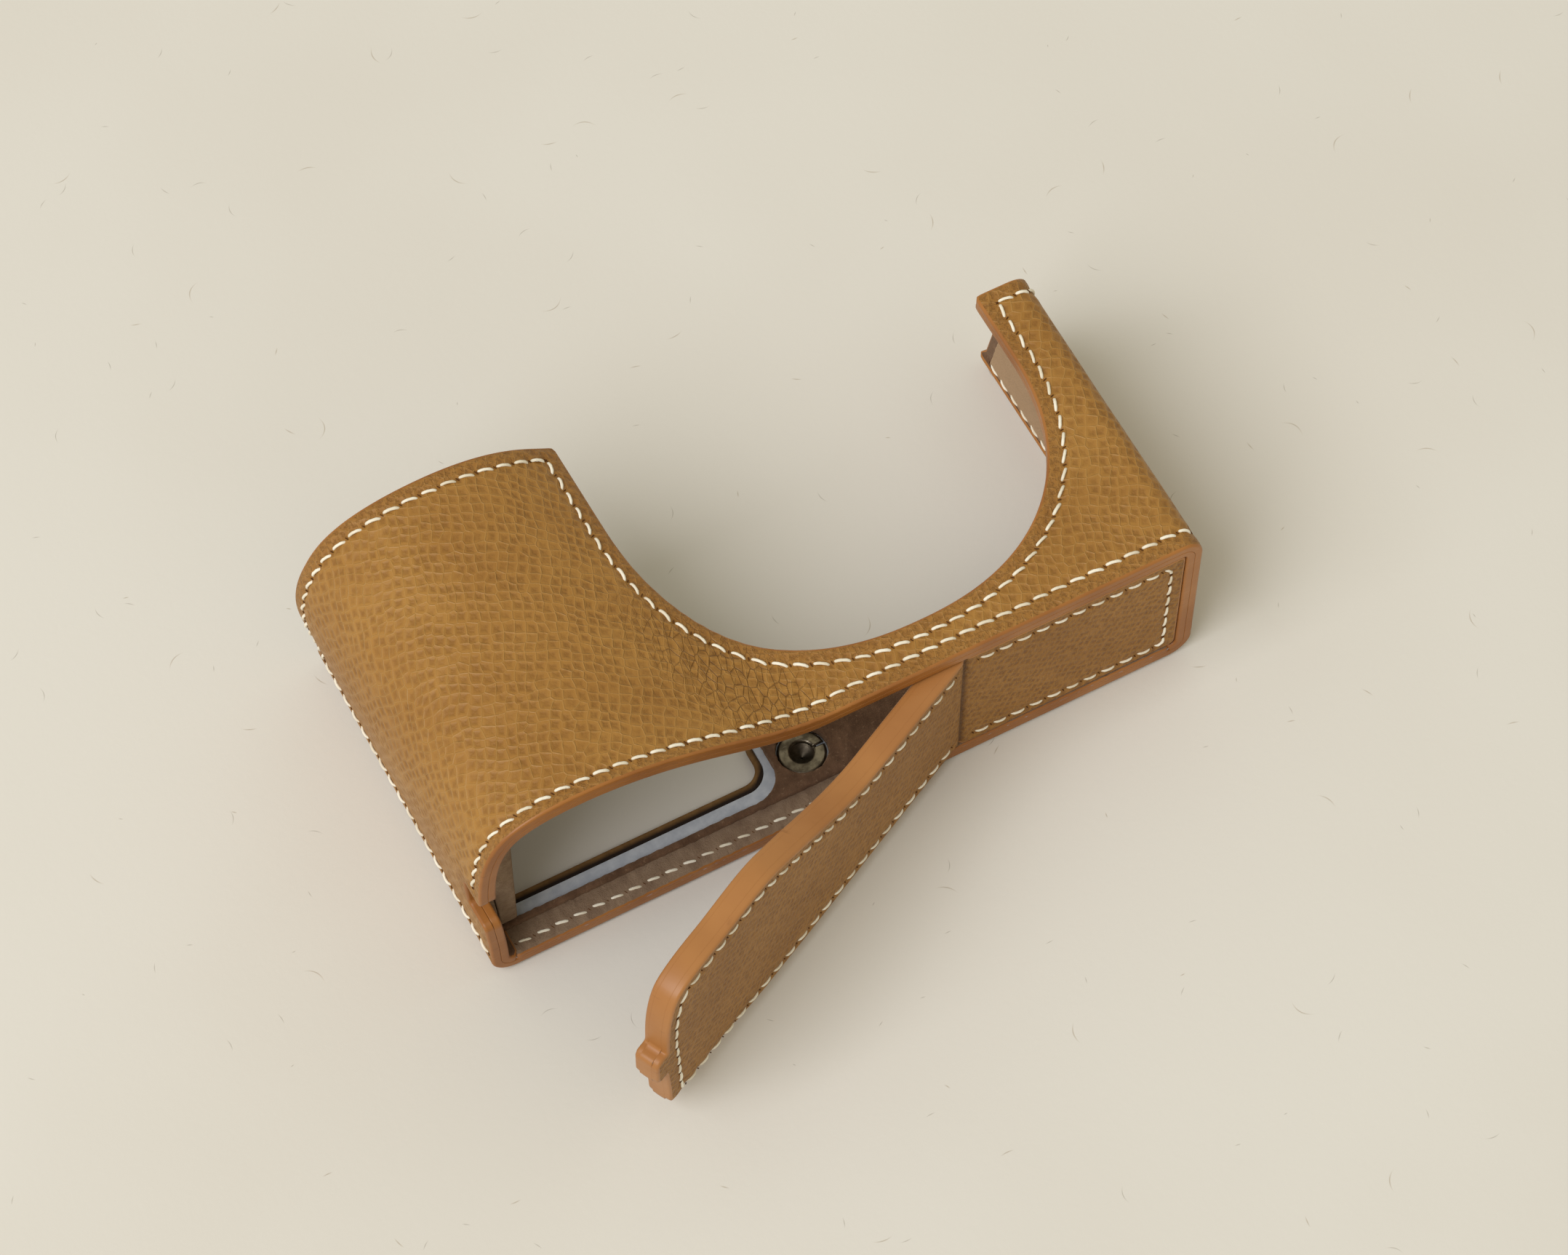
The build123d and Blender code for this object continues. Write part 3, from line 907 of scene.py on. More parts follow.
def outward(angle):
    """The way the cover's outer face looks when it is opened by angle, in degrees."""
    return (sin(radians(angle)), -cos(radians(angle)), 0.0)


def cover_place(x, z):
    return opened(closed_place(x, z), cover_turn(x))


def cover_normal(x, z):
    a = np.radians(cover_turn(x))
    return np.stack([np.sin(a), -np.cos(a), np.zeros(len(x))], axis=1)


def flat_panel(height):
    return lambda x, z: np.stack([x, np.full(len(x), height), z], axis=1)


def flap_layer(height):
    place = flat_panel(height)
    return lambda x, z: opened(place(x, z), np.full(len(x), FLAP_OPEN))


def inset_section_line(inset, x_low, x_high):
    """Points along the section moved in by inset, from one x to the other, at the front."""
    n = np.stack([-section_way[:, 1], section_way[:, 0]], axis=1)
    trim = flap_trim(flat_section[:, 0], flat_section[:, 1])
    line = flat_section - n * (inset + trim)[:, None]
    q = SECTIONS[0][0][1:-1]
    keep = (q > TURN + 12) & (q < STOPS[4]) & (line[:, 0] > x_low) & (line[:, 0] < x_high)
    return line[keep]


ROW_IN_COVER = 2.3
PANEL_FRONT_Z = DEPTH - WALL - ROW_IN_COVER
PANEL_END_X = RIGHT - WALL - ROW_IN_COVER - 0.3
PANEL_BACK_Z = COVER_BACK + 2.0
panel_corners = [
    (HINGE_X + 2.4, PANEL_FRONT_Z),
    (PANEL_END_X - 0.8, PANEL_FRONT_Z),
    (PANEL_END_X, PANEL_FRONT_Z - 0.8),
    (PANEL_END_X, PANEL_BACK_Z + 0.8),
    (PANEL_END_X - 0.8, PANEL_BACK_Z),
    (HINGE_X + 2.4, PANEL_BACK_Z),
]
front_line = inset_section_line(WALL + FLAP_CLEARANCE + ROW_IN_COVER, LEFT + 5.5, HINGE_X - 2.4)
flap_line = list(map(tuple, front_line[::-1]))
flap_line = [p for k, p in enumerate(flap_line) if p[1] > 24.0 or k == 0]
flap_end = (flap_line[-1][0] + 0.2, 22.0)
FLAP_BACK_Z = COVER_BACK + FLAP_OVER_STITCHES + 1.7
flap_line += [flap_end, (LEFT + WALL + 5.3, FLAP_BACK_Z + 1.2), (LEFT + WALL + 6.5, FLAP_BACK_Z)]
flap_line += [(HINGE_X - 2.4, FLAP_BACK_Z)]


def cover_row(line, angle):
    x, z = along_run(line).T
    p = opened(closed_place(x, z), np.full(len(x), angle))
    row = Row(p, facing(outward(angle))(x, z))
    row.q, row.y = x, z
    return row


panel_row = cover_row(panel_corners, 0.0)
flap_row = cover_row(flap_line, FLAP_OPEN)
cover_hole_tree, cover_line_tree = (tree_of(points) for points in row_points((panel_row, flap_row)))


def cover_relief(u, v):
    hole = nearest(cover_hole_tree, u, v, 3.0)
    line = nearest(cover_line_tree, u, v, 4.0)
    rise = -0.2 * np.exp(-((hole / 0.6) ** 2)) - 0.08 * np.exp(-((line / 0.8) ** 2))
    rise += 0.05 * np.exp(-(((line - 1.8) / 0.8) ** 2))
    rise -= 0.34 * np.exp(-(((u - HINGE_X) / 0.42) ** 2))
    return rise + 0.03 * waves(u, v, 5, 14.0)


# painted shade: 1 along the fold, where a dark line is painted into the crease
def fold_crease_shade_share(u, v):
    return np.exp(-(((u - HINGE_X) / 0.6) ** 2))


# ------------------------------------------------------------------ the back panel's layers


def ragged(u, v, seed, size=0.9, amount=0.1):
    return amount * waves(u, v, seed, size, 10)


def back_layer(setback, hole, ledge=BOTTOM, frayed=0.0, seed=1):
    at_step, at_strip = setback

    def outline(x, y):
        out = back_zone(x, y, at_step, at_strip, CORNER)
        out = np.maximum(out, np.maximum(LEFT + CORNER - x, x - (RIGHT - CORNER)))
        out = np.maximum(out, np.maximum(snap_zone(x, y, hole), ledge - y))
        return out + (ragged(x, y, seed, 1.1, frayed) if frayed else 0)

    return outline


def flat_at(z):
    return lambda x, y: np.stack([x, y, np.full(len(x), z)], axis=1)


# ------------------------------------------------------------------ the end pad


PAD_FACE = LEFT + 7.5
PAD_TOP = GRIP_TOP - ROW_FROM_TOP - 0.6


def left_wall_x(y, z, depth):
    """The x of the left wall's inner face at a depth, at height y and z."""
    out = np.empty(len(y))
    q = np.linspace(0.5, STOPS[1] + LEFT_WALL_REACH, 500)
    heights = np.linspace(BOTTOM, WING_TOP, 12)
    table = []
    for h in heights:
        hh = np.full(len(q), h)
        p = case_place(q, hh) - case_normal(q, hh) * depth
        keep = np.concatenate([[True], np.diff(np.maximum.accumulate(p[:, 2])) > 1e-6])
        table.append((p[keep, 2], p[keep, 0]))
    rows = np.clip((y - BOTTOM) / WING_HEIGHT * 11, 0, 10.999)
    for k in range(len(y)):
        i = int(rows[k])
        a = np.interp(z[k], *table[i])
        b = np.interp(z[k], *table[i + 1])
        out[k] = a + (b - a) * (rows[k] - i)
    return out


def pad_outline(y, z):
    room = PAD_FACE - left_wall_x(y, z, WALL + LINER + 0.05)
    out = np.maximum(1.3 - room, LINER_TOP + 0.1 - z)
    return np.maximum(out, np.maximum(LEDGE + SUEDE_LIFT - y, y - PAD_TOP))


def pad_place(y, z):
    crown = 0.35 * np.clip(-pad_outline(y, z) / 6, 0, 1)
    return np.stack([PAD_FACE - 0.35 + crown, y, z], axis=1)


def pad_depth(y, z):
    return PAD_FACE - 0.35 - left_wall_x(y, z, WALL + LINER + 0.05)


# ------------------------------------------------------------------ turned metal


def turned(profile, gap=0.0):
    """A closed ring turned about the snap from its (radius, z) outline, with a slit of the given gap."""
    profile = np.asarray(profile, float)
    count, segments = len(profile), 96
    points, faces = [], []
    for k in range(segments + (1 if gap else 0)):
        share = k / segments
        for radius, z in profile:
            if gap:
                edge = np.arcsin(gap / 2 / radius)
                angle = edge + share * (2 * pi - 2 * edge)
            else:
                angle = share * 2 * pi
            points.append((SNAP[0] + radius * cos(angle), SNAP[1] + radius * sin(angle), z))
    for k in range(segments):
        following = (k + 1) if gap else (k + 1) % segments
        for i in range(count):
            j = (i + 1) % count
            faces.append((k * count + i, following * count + i, following * count + j, k * count + j))
    if gap:
        faces.append(tuple(range(count)))
        faces.append(tuple(range(segments * count + count - 1, segments * count - 1, -1)))
    return points, faces


def rounded_ring(inner, outer, low_z, high_z, radius):
    """(radius, z) outline of a washer with rounded top edges, going round anticlockwise."""
    line = [(inner, low_z), (outer, low_z)]
    for angle in (0, 30, 60, 90):
        a = radians(angle)
        line.append((outer - radius * (1 - cos(a)), high_z - radius * (1 - sin(a))))
    for angle in (90, 60, 30, 0):
        a = radians(angle)
        line.append((inner + radius * (1 - cos(a)), high_z - radius * (1 - sin(a))))
    return line


# ------------------------------------------------------------------ materials


def tone(red, green, blue):
    """A colour given as it looks, from 0 to 255, as the shader wants it."""
    out = []
    for value in (red, green, blue):
        c = value / 255
        out.append(c / 12.92 if c <= 0.04045 else ((c + 0.055) / 1.055) ** 2.4)
    return (*out, 1.0)


class Nodes:
    """Short calls for making and joining shader nodes."""

    def __init__(self, tree):
        self.tree = tree

    def add(self, kind, inputs=(), **settings):
        node = self.tree.nodes.new("ShaderNode" + kind)
        for key, value in settings.items():
            setattr(node, key, value)
        for key, value in dict(inputs).items():
            self.put(value, node.inputs[key])
        return node

    def put(self, value, socket):
        if isinstance(value, bpy.types.NodeSocket):
            self.tree.links.new(value, socket)
        else:
            socket.default_value = value

    def math(self, operation, a, b=0.0):
        return self.add("Math", {0: a, 1: b}, operation=operation).outputs[0]

    def times(self, a, b):
        return self.math("MULTIPLY", a, b)

    def plus(self, a, b):
        return self.math("ADD", a, b)

    def minus(self, a, b):
        return self.math("SUBTRACT", a, b)

    def ramp(self, value, low_in, high_in, low_out=0.0, high_out=1.0):
        sizes = {"Value": value, "From Min": low_in, "From Max": high_in, "To Min": low_out,
                "To Max": high_out}
        return self.add("MapRange", sizes, interpolation_type="SMOOTHSTEP").outputs["Result"]

    def mix(self, factor, a, b):
        return self.add("Mix", {0: factor, 6: a, 7: b}, data_type="RGBA").outputs[2]

    def stain(self, base, mask, share, colour):
        """base with a colour over it where the mask is 1, to the given share."""
        return self.mix(self.times(mask, share), base, tone(*colour))

    def noise(self, vector, scale, detail=3.0, rough=0.55):
        sizes = {"Vector": vector, "Scale": scale, "Detail": detail, "Roughness": rough}
        return self.add("TexNoise", sizes).outputs

    def move(self, vector, scale=(1, 1, 1), turn=0.0):
        sizes = {"Vector": vector, "Rotation": (0, 0, turn), "Scale": scale}
        return self.add("Mapping", sizes).outputs[0]

    def mark(self, name):
        return self.add("Attribute", attribute_name=name).outputs["Fac"]


def start_group(name, inputs, outputs):
    """A shader node group with its sockets: (group, nodes, its inputs, its output node)."""
    group = bpy.data.node_groups.new(name, "ShaderNodeTree")
    for label, kind, value in inputs:
        socket = group.interface.new_socket(name=label, in_out="INPUT", socket_type="NodeSocket" + kind)
        if value is not None:
            socket.default_value = value
    for label, kind in outputs:
        group.interface.new_socket(name=label, in_out="OUTPUT", socket_type="NodeSocket" + kind)
    entry = group.nodes.new("NodeGroupInput")
    result = group.nodes.new("NodeGroupOutput")
    return group, Nodes(group), entry.outputs, result.inputs


def embossed_grain():
    """Rows of small pressed cells between raised lines, on coordinates in centimetres of leather."""
    inputs = [
        ("Vector", "Vector", None),
        ("Cell", "Float", 0.178),
        ("Wander", "Float", 0.5),
        ("Unevenness", "Float", 0.45),
    ]
    outputs = [("Pit", "Float"), ("Line", "Float"), ("Height", "Float")]
    group, n, given, result = start_group("embossed grain", inputs, outputs)
    rate = n.math("DIVIDE", 1.0, given["Cell"])
    angle = {"Vector": given["Vector"], "Angle": radians(28)}
    turned_way = n.add("VectorRotate", angle, rotation_type="Z_AXIS")
    spread = n.add("VectorMath", {0: turned_way.outputs[0], "Scale": rate}, operation="SCALE").outputs[0]
    wobble = n.noise(spread, 0.16, 2.0)["Color"]
    wobble = n.add("VectorMath", {0: wobble, 1: (0.5, 0.5, 0.5)}, operation="SUBTRACT").outputs[0]
    drift = n.times(given["Wander"], 6.0)
    wobble = n.add("VectorMath", {0: wobble, "Scale": drift}, operation="SCALE")
    at = n.add("VectorMath", {0: spread, 1: wobble.outputs[0]}, operation="ADD").outputs[0]
    stretched = n.add("VectorMath", {0: at, 1: (1.0, 0.88, 1.0)}, operation="MULTIPLY").outputs[0]
    cells = {"Vector": stretched, "Scale": 1.0, "Randomness": given["Unevenness"]}
    squares = n.add("TexVoronoi", cells, voronoi_dimensions="2D", feature="F1", distance="CHEBYCHEV")
    centre = squares.outputs["Distance"]
    edges = n.add("TexVoronoi", cells, voronoi_dimensions="2D", feature="DISTANCE_TO_EDGE")
    edge = edges.outputs["Distance"]
    fine = n.noise(spread, 2.6, 3.0)["Fac"]
    patch = n.noise(spread, 0.33, 3.0, 0.6)["Fac"]
    ripple = n.noise(n.move(spread, (1.15, 0.3, 1.0)), 1.0, 2.0, 0.5)["Fac"]
    pit = n.ramp(centre, 0.47, 0.1)
    pit = n.times(pit, n.ramp(fine, 0.2, 0.65, 0.45, 1.0))
    pit = n.times(pit, n.ramp(patch, 0.3, 0.62, 0.4, 1.0))
    line = n.times(n.ramp(edge, 0.1, 0.0), n.ramp(ripple, 0.3, 0.62, 0.4, 1.0))
    height = n.times(pit, -0.7)
    height = n.plus(height, n.times(line, 0.36))
    height = n.plus(height, n.times(ripple, 0.5))
    height = n.plus(height, n.times(fine, 0.14))
    n.put(pit, result["Pit"])
    n.put(line, result["Line"])
    n.put(height, result["Height"])
    return group


def hide_tone():
    """Slow drifts of colour over tanned hide, with fine specks, from 0 to 1."""
    inputs = [("Vector", "Vector", None), ("Patch", "Float", 0.35)]
    outputs = [("Drift", "Float"), ("Specks", "Float")]
    group, n, given, result = start_group("hide tone", inputs, outputs)
    broad = n.noise(given["Vector"], given["Patch"], 4.0, 0.6)["Fac"]
    small = n.noise(given["Vector"], 34.0, 2.0, 0.6)["Fac"]
    n.put(n.ramp(broad, 0.32, 0.68), result["Drift"])
    n.put(n.ramp(small, 0.62, 0.78), result["Specks"])
    return group


def nap():
    """Short suede fibres: a mottled shade and a soft fuzzy height, on coordinates in metres."""
    inputs = [("Vector", "Vector", None), ("Length", "Float", 1.0)]
    outputs = [("Shade", "Float"), ("Height", "Float")]
    group, n, given, result = start_group("suede nap", inputs, outputs)
    at = n.add("VectorMath", {0: given["Vector"], "Scale": given["Length"]}, operation="SCALE").outputs[0]
    fuzz = n.noise(at, 2600.0, 4.0, 0.7)["Fac"]
    clump = n.noise(at, 420.0, 3.0, 0.6)["Fac"]
    brushed = n.noise(n.move(at, (1.0, 0.35, 1.0)), 900.0, 2.0, 0.5)["Fac"]
    shade = n.plus(n.times(clump, 0.55), n.times(brushed, 0.45))
    n.put(n.ramp(shade, 0.22, 0.78), result["Shade"])
    n.put(n.plus(fuzz, n.times(clump, 0.8)), result["Height"])
    return group


GRAIN = embossed_grain()
TONE = hide_tone()
NAP = nap()


def start_material(name, uv_map=None, **values):
    """A material: (material, nodes, its shader, its coordinates on the sheet or else in space)."""
    material = bpy.data.materials.new(name)
    material.use_nodes = True
    nodes = Nodes(material.node_tree)
    shader = material.node_tree.nodes["Principled BSDF"]
    for label, value in values.items():
        shader.inputs[label.replace("_", " ")].default_value = value
    if uv_map:
        return material, nodes, shader, nodes.add("UVMap", uv_map=uv_map).outputs[0]
    return material, nodes, shader, nodes.add("TexCoord").outputs["Object"]


def place_group(nodes, group, **inputs):
    node = nodes.tree.nodes.new("ShaderNodeGroup")
    node.node_tree = group
    for label, value in inputs.items():
        nodes.put(value, node.inputs[label])
    return node.outputs


def dress(n, shader, colour, height, distance, strength):
    """Gives a material its colour, and its relief of the given depth in metres."""
    n.put(colour, shader.inputs["Base Color"])
    relief = n.add("Bump", {"Height": height, "Distance": distance, "Strength": strength})
    n.put(relief.outputs[0], shader.inputs["Normal"])


def grained_leather():
    """The case's tan calf, embossed with small cells, smoother along the sewn margins."""
    material, n, shader, at = start_material("tan embossed calf", "Sheet", Roughness=0.5,
            Specular_IOR_Level=0.36)
    grain = place_group(n, GRAIN, Vector=at, Cell=0.168, Wander=0.3, Unevenness=0.42)
    drift = place_group(n, TONE, Vector=at, Patch=0.42)
    margin, valley = n.mark("margin"), n.mark("valley")
    pressed = n.ramp(margin, 0.1, 0.9, 1.0, 0.75)
    pit = n.times(grain["Pit"], pressed)
    base = n.mix(drift["Drift"], tone(156, 109, 46), tone(168, 121, 55))
    base = n.stain(base, pit, 0.66, (126, 82, 28))
    base = n.stain(base, grain["Line"], 0.4, (184, 142, 80))
    # painted shade: dark lines between the raised cells in the valley, drawn together with the cracks' real
    # relief
    turned_way = n.add("VectorRotate", {"Vector": at, "Angle": radians(24)}, rotation_type="Z_AXIS")
    crack_at = n.move(turned_way.outputs[0], (8.0, 3.4, 1.0))
    crack_relief_and_shade = n.add(
        "TexVoronoi",
        {"Vector": crack_at, "Scale": 1.0, "Randomness": 0.9},
        voronoi_dimensions="2D",
        feature="DISTANCE_TO_EDGE",
    ).outputs["Distance"]
    crack_relief_and_shade = n.times(n.ramp(crack_relief_and_shade, 0.07, 0.0), n.ramp(valley, 0.1, 0.95))
    base = n.stain(base, crack_relief_and_shade, 0.5, (96, 58, 20))
    base = n.stain(base, margin, 0.3, (140, 92, 40))
    # painted shade: small creases along the margins are darkened, beside their real relief
    crinkle = n.noise(at, 13.0, 4.0, 0.65)["Fac"]
    crease_relief_and_shade = n.times(n.ramp(crinkle, 0.5, 0.38), margin)
    base = n.stain(base, crease_relief_and_shade, 0.16, (108, 66, 26))
    base = n.stain(base, drift["Specks"], 0.14, (110, 72, 32))
    n.put(n.ramp(grain["Pit"], 0.0, 1.0, 0.46, 0.6), shader.inputs["Roughness"])
    height = n.times(grain["Height"], pressed)
    height = n.minus(height, n.times(crack_relief_and_shade, 0.6))
    height = n.minus(height, n.times(crease_relief_and_shade, 0.4))
    pores = n.noise(at, 55.0, 3.0, 0.6)["Fac"]
    height = n.plus(height, n.times(pores, 0.18))
    dress(n, shader, base, height, 0.00026, 0.9)
    return material


def flesh_side():
    """The back of the tan leather, with a dark line beside the board that is partly old glue and partly
    painted shade.
    """
    material, n, shader, at = start_material("tan flesh side", Roughness=0.8, Specular_IOR_Level=0.2)
    fibres = place_group(n, NAP, Vector=at, Length=0.6)
    base = n.mix(fibres["Shade"], tone(98, 70, 38), tone(136, 102, 60))
    # glue and painted shade: the glue mark darkens the flesh side beside the board
    base = n.mix(n.mark("glue"), base, tone(38, 27, 20))
    dress(n, shader, base, fibres["Height"], 0.0003, 0.6)
    return material


def cover_calf():
    """The flap's and panel's calf: the same hide, flatter, with fine slanted striations."""
    material, n, shader, at = start_material("tan calf of the cover", "Sheet", Roughness=0.55,
            Specular_IOR_Level=0.3)
    grain = place_group(n, GRAIN, Vector=at, Cell=0.125, Wander=0.25, Unevenness=0.36)
    drift = place_group(n, TONE, Vector=at, Patch=0.6)
    fold = n.mark("fold")
    stria = n.noise(n.move(at, (38.0, 7.0, 1.0), radians(-38)), 1.0, 3.0, 0.55)["Fac"]
    base = n.mix(drift["Drift"], tone(151, 104, 42), tone(163, 115, 52))
    base = n.stain(base, grain["Pit"], 0.8, (112, 70, 24))
    base = n.stain(base, grain["Line"], 0.2, (180, 134, 70))
    base = n.mix(n.ramp(stria, 0.54, 0.68, 0.0, 0.45), base, tone(118, 78, 38))
    # painted shade: a dark line along the fold's crease
    base = n.stain(base, fold, 0.75, (74, 44, 20))
    n.put(n.ramp(stria, 0.3, 0.8, 0.46, 0.58), shader.inputs["Roughness"])
    height = n.minus(n.times(grain["Height"], 0.6), n.times(stria, 0.4))
    dress(n, shader, base, height, 0.00032, 1.0)
    return material


def painted_edge(name, light, deep):
    """Burnished edge paint: nearly even, with slow waves and a few thin places."""
    material, n, shader, at = start_material(name, Roughness=0.36, Specular_IOR_Level=0.45)
    slow = n.noise(at, 60.0, 3.0, 0.55)["Fac"]
    lines = n.noise(n.move(at, (240.0, 240.0, 1500.0)), 1.0, 2.0, 0.5)["Fac"]
    base = n.mix(n.ramp(slow, 0.3, 0.7), tone(*light), tone(*deep))
    base = n.mix(n.ramp(lines, 0.64, 0.8, 0.0, 0.35), base, tone(112, 66, 30))
    n.put(n.ramp(slow, 0.3, 0.7, 0.36, 0.48), shader.inputs["Roughness"])
    height = n.plus(slow, n.times(lines, 0.2))
    dress(n, shader, base, height, 0.0004, 0.35)
    return material


def suede(name, light, deep, fuzz=1.0):
    """Brown suede with a soft sheen."""
    sheen = {"Sheen_Weight": 0.35, "Sheen_Roughness": 0.5, "Sheen_Tint": tone(196, 170, 140)}
    material, n, shader, at = start_material(name, Roughness=0.95, Specular_IOR_Level=0.12, **sheen)
    fibres = place_group(n, NAP, Vector=at, Length=1.0)
    base = n.mix(fibres["Shade"], tone(*deep), tone(*light))
    specks = n.noise(at, 1700.0, 2.0, 0.6)["Fac"]
    base = n.mix(n.ramp(specks, 0.6, 0.75, 0.0, 0.35), base, tone(168, 138, 110))
    # painted light: the rubbed mark makes the arm's inside wall paler, as if lit
    base = n.stain(base, n.mark("rubbed"), 0.6, (196, 164, 128))
    dress(n, shader, base, fibres["Height"], 0.00035 * fuzz, 0.8)
    return material


def pale_board():
    """Blue-grey backing board with a few yellow glue flecks."""
    material, n, shader, at = start_material("pale board", Roughness=0.62)
    pulp = n.noise(at, 500.0, 4.0, 0.6)["Fac"]
    flecks = n.noise(at, 105.0, 1.0, 0.4)["Fac"]
    base = n.mix(n.ramp(pulp, 0.3, 0.7), tone(174, 180, 190), tone(194, 199, 206))
    base = n.mix(n.ramp(flecks, 0.7, 0.76, 0.0, 0.7), base, tone(188, 168, 104))
    dress(n, shader, base, pulp, 0.0001, 0.5)
    return material


def waxed_thread():
    """Cream waxed linen thread with its ply lines."""
    sheen = {"Sheen_Weight": 0.15, "Sheen_Roughness": 0.4}
    material, n, shader, at = start_material("cream waxed thread", Roughness=0.55, **sheen)
    ply = n.noise(at, 2400.0, 3.0, 0.6)["Fac"]
    soil = n.noise(at, 240.0, 2.0, 0.5)["Fac"]
    base = n.mix(n.ramp(soil, 0.35, 0.7), tone(243, 236, 217), tone(224, 213, 188))
    base = n.mix(n.ramp(ply, 0.55, 0.75, 0.0, 0.3), base, tone(190, 176, 146))
    dress(n, shader, base, ply, 0.00008, 0.6)
    return material


# painted shade: the dark colour of the slits stands in for the shade inside the needle holes
def needle_slit_shade():
    material, n, shader, at = start_material("needle slit", Roughness=0.8, Specular_IOR_Level=0.1)
    dark = n.noise(at, 900.0, 2.0)["Fac"]
    n.put(n.mix(dark, tone(70, 40, 16), tone(104, 64, 30)), shader.inputs["Base Color"])
    return material


def antique_metal():
    """Darkened nickel with rubbed high spots and fine scratches."""
    material, n, shader, at = start_material("antique nickel", Metallic=1.0, Roughness=0.38)
    tarnish = n.noise(at, 420.0, 4.0, 0.65)["Fac"]
    scratches = n.noise(n.move(at, (300.0, 5200.0, 300.0), 0.5), 1.0, 2.0)["Fac"]
    base = n.mix(n.ramp(tarnish, 0.35, 0.68), tone(96, 87, 73), tone(146, 136, 118))
    base = n.mix(n.ramp(scratches, 0.66, 0.72, 0.0, 0.4), base, tone(205, 198, 184))
    n.put(n.ramp(tarnish, 0.3, 0.7, 0.5, 0.3), shader.inputs["Roughness"])
    height = n.plus(tarnish, n.times(scratches, 0.3))
    dress(n, shader, base, height, 0.00006, 0.5)
    return material


def fibre_layer(n, at, scale, length, width, share, seed):
    """A mask of short straight fibres, one in some of the cells, each at its own angle."""
    shifted = n.add("VectorMath", {0: at, 1: (seed, seed * 0.37, 0)}, operation="ADD").outputs[0]
    cells = n.add(
        "TexVoronoi", {"Vector": shifted, "Scale": scale, "Randomness": 1.0}, voronoi_dimensions="2D"
    ).outputs
    away = n.add("VectorMath", {0: shifted, 1: cells["Position"]}, operation="SUBTRACT").outputs[0]
    parts = n.add("SeparateXYZ", {0: away}).outputs
    chance = n.add("SeparateColor", {0: cells["Color"]}).outputs
    angle = n.times(chance[0], 2 * pi)
    c, s = n.math("COSINE", angle), n.math("SINE", angle)
    along = n.plus(n.times(parts[0], c), n.times(parts[1], s))
    off = n.minus(n.times(parts[1], c), n.times(parts[0], s))
    curve = n.times(n.times(along, along), n.times(chance[2], 220.0))
    off = n.math("ABSOLUTE", n.minus(off, curve))
    reach = n.times(n.plus(chance[2], 0.25), length)
    ends = n.ramp(n.math("ABSOLUTE", along), reach, 0.0)
    mask = n.times(n.ramp(off, width, width * 0.35), ends)
    return n.times(mask, n.math("LESS_THAN", chance[1], share))


def paper_floor():
    """Cream paper with sparse fine fibres."""
    material, n, shader, at = start_material("cream paper", Roughness=0.85, Specular_IOR_Level=0.2)
    cloud = n.noise(at, 7.0, 3.0, 0.5)["Fac"]
    tooth = n.noise(at, 700.0, 3.0, 0.6)["Fac"]
    base = n.mix(n.ramp(cloud, 0.35, 0.65), tone(*PAPER_DEEP), tone(*PAPER_LIGHT))
    dark = fibre_layer(n, at, 62.0, 0.0022, 0.00013, 0.3, 0.0)
    more = fibre_layer(n, at, 110.0, 0.0014, 0.0001, 0.2, 3.1)
    base = n.stain(base, dark, 0.45, (150, 128, 92))
    base = n.stain(base, more, 0.4, (120, 108, 86))
    dress(n, shader, base, tooth, 0.00008, 0.35)
    return material


PAPER_LIGHT = (221, 217, 208)
PAPER_DEEP = (217, 212, 202)

LEATHER_OUT = grained_leather()
COVER_OUT = cover_calf()
FLESH = flesh_side()
RIM_PAINT = painted_edge("tan edge paint", (166, 108, 48), (146, 90, 36))
FLAP_PAINT = painted_edge("orange tan edge paint", (175, 120, 66), (164, 109, 57))
# One lining suede in two copies: a darker one matched to suede in shadow and a paler one for suede in
# light. The difference is partly the layers' own tone and partly painted light and shade.
SUEDE = suede("brown suede, darker copy for shade", (124, 94, 72), (86, 62, 46))
SUEDE_LIT_COPY = suede("taupe suede, paler copy for light", (158, 134, 110), (122, 98, 78), 1.2)
BOARD = pale_board()
THREAD = waxed_thread()
SLIT_SHADE = needle_slit_shade()
METAL = antique_metal()
FLOOR = paper_floor()

# ------------------------------------------------------------------ the pieces


def finish_piece(piece, body, slot_name, *nodes):
    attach(piece, body)
    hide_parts(*nodes)
    return piece


WHOLE_LOOP = AROUND + BACK_LEFT + BACK_RIGHT
case_us = np.linspace(-BACK_LEFT, AROUND + BACK_RIGHT, round(WHOLE_LOOP / CELL) + 1)
case_vs = even_steps(BOTTOM, WING_TOP, CELL)

case_leather = sheet(
    "case_leather",
    case_us,
    case_vs,
    case_place,
    case_normal,
    case_outline,
    (0.0, LEATHER),
    [LEATHER_OUT, RIM_PAINT, FLESH, FLESH],
    radii=(0.42, 0.12),
    loop=WHOLE_LOOP,
    painted=lambda q, y: ((q < -0.5) | (q > AROUND + 0.5)) & (y > BOTTOM + 2),
    relief=leather_relief,
    marks={"margin": margin_share, "valley": valley_share, "glue": glue_and_shade_share},
)
finish_piece(case_leather, "case", "outer_leather", "front_leather", "back_leather")

case_lining = sheet(
    "case_lining",
    even_steps(-1.0, AROUND + 1.0, 0.8),
    even_steps(BOTTOM, WING_TOP, 0.8),
    case_place,
    case_normal,
    lining_outline,
    (LEATHER, WALL),
    [SUEDE, RIM_PAINT, SUEDE],
    radii=(0.12, 0.42),
)
finish_piece(case_lining, "case", "suede", "front_lining")

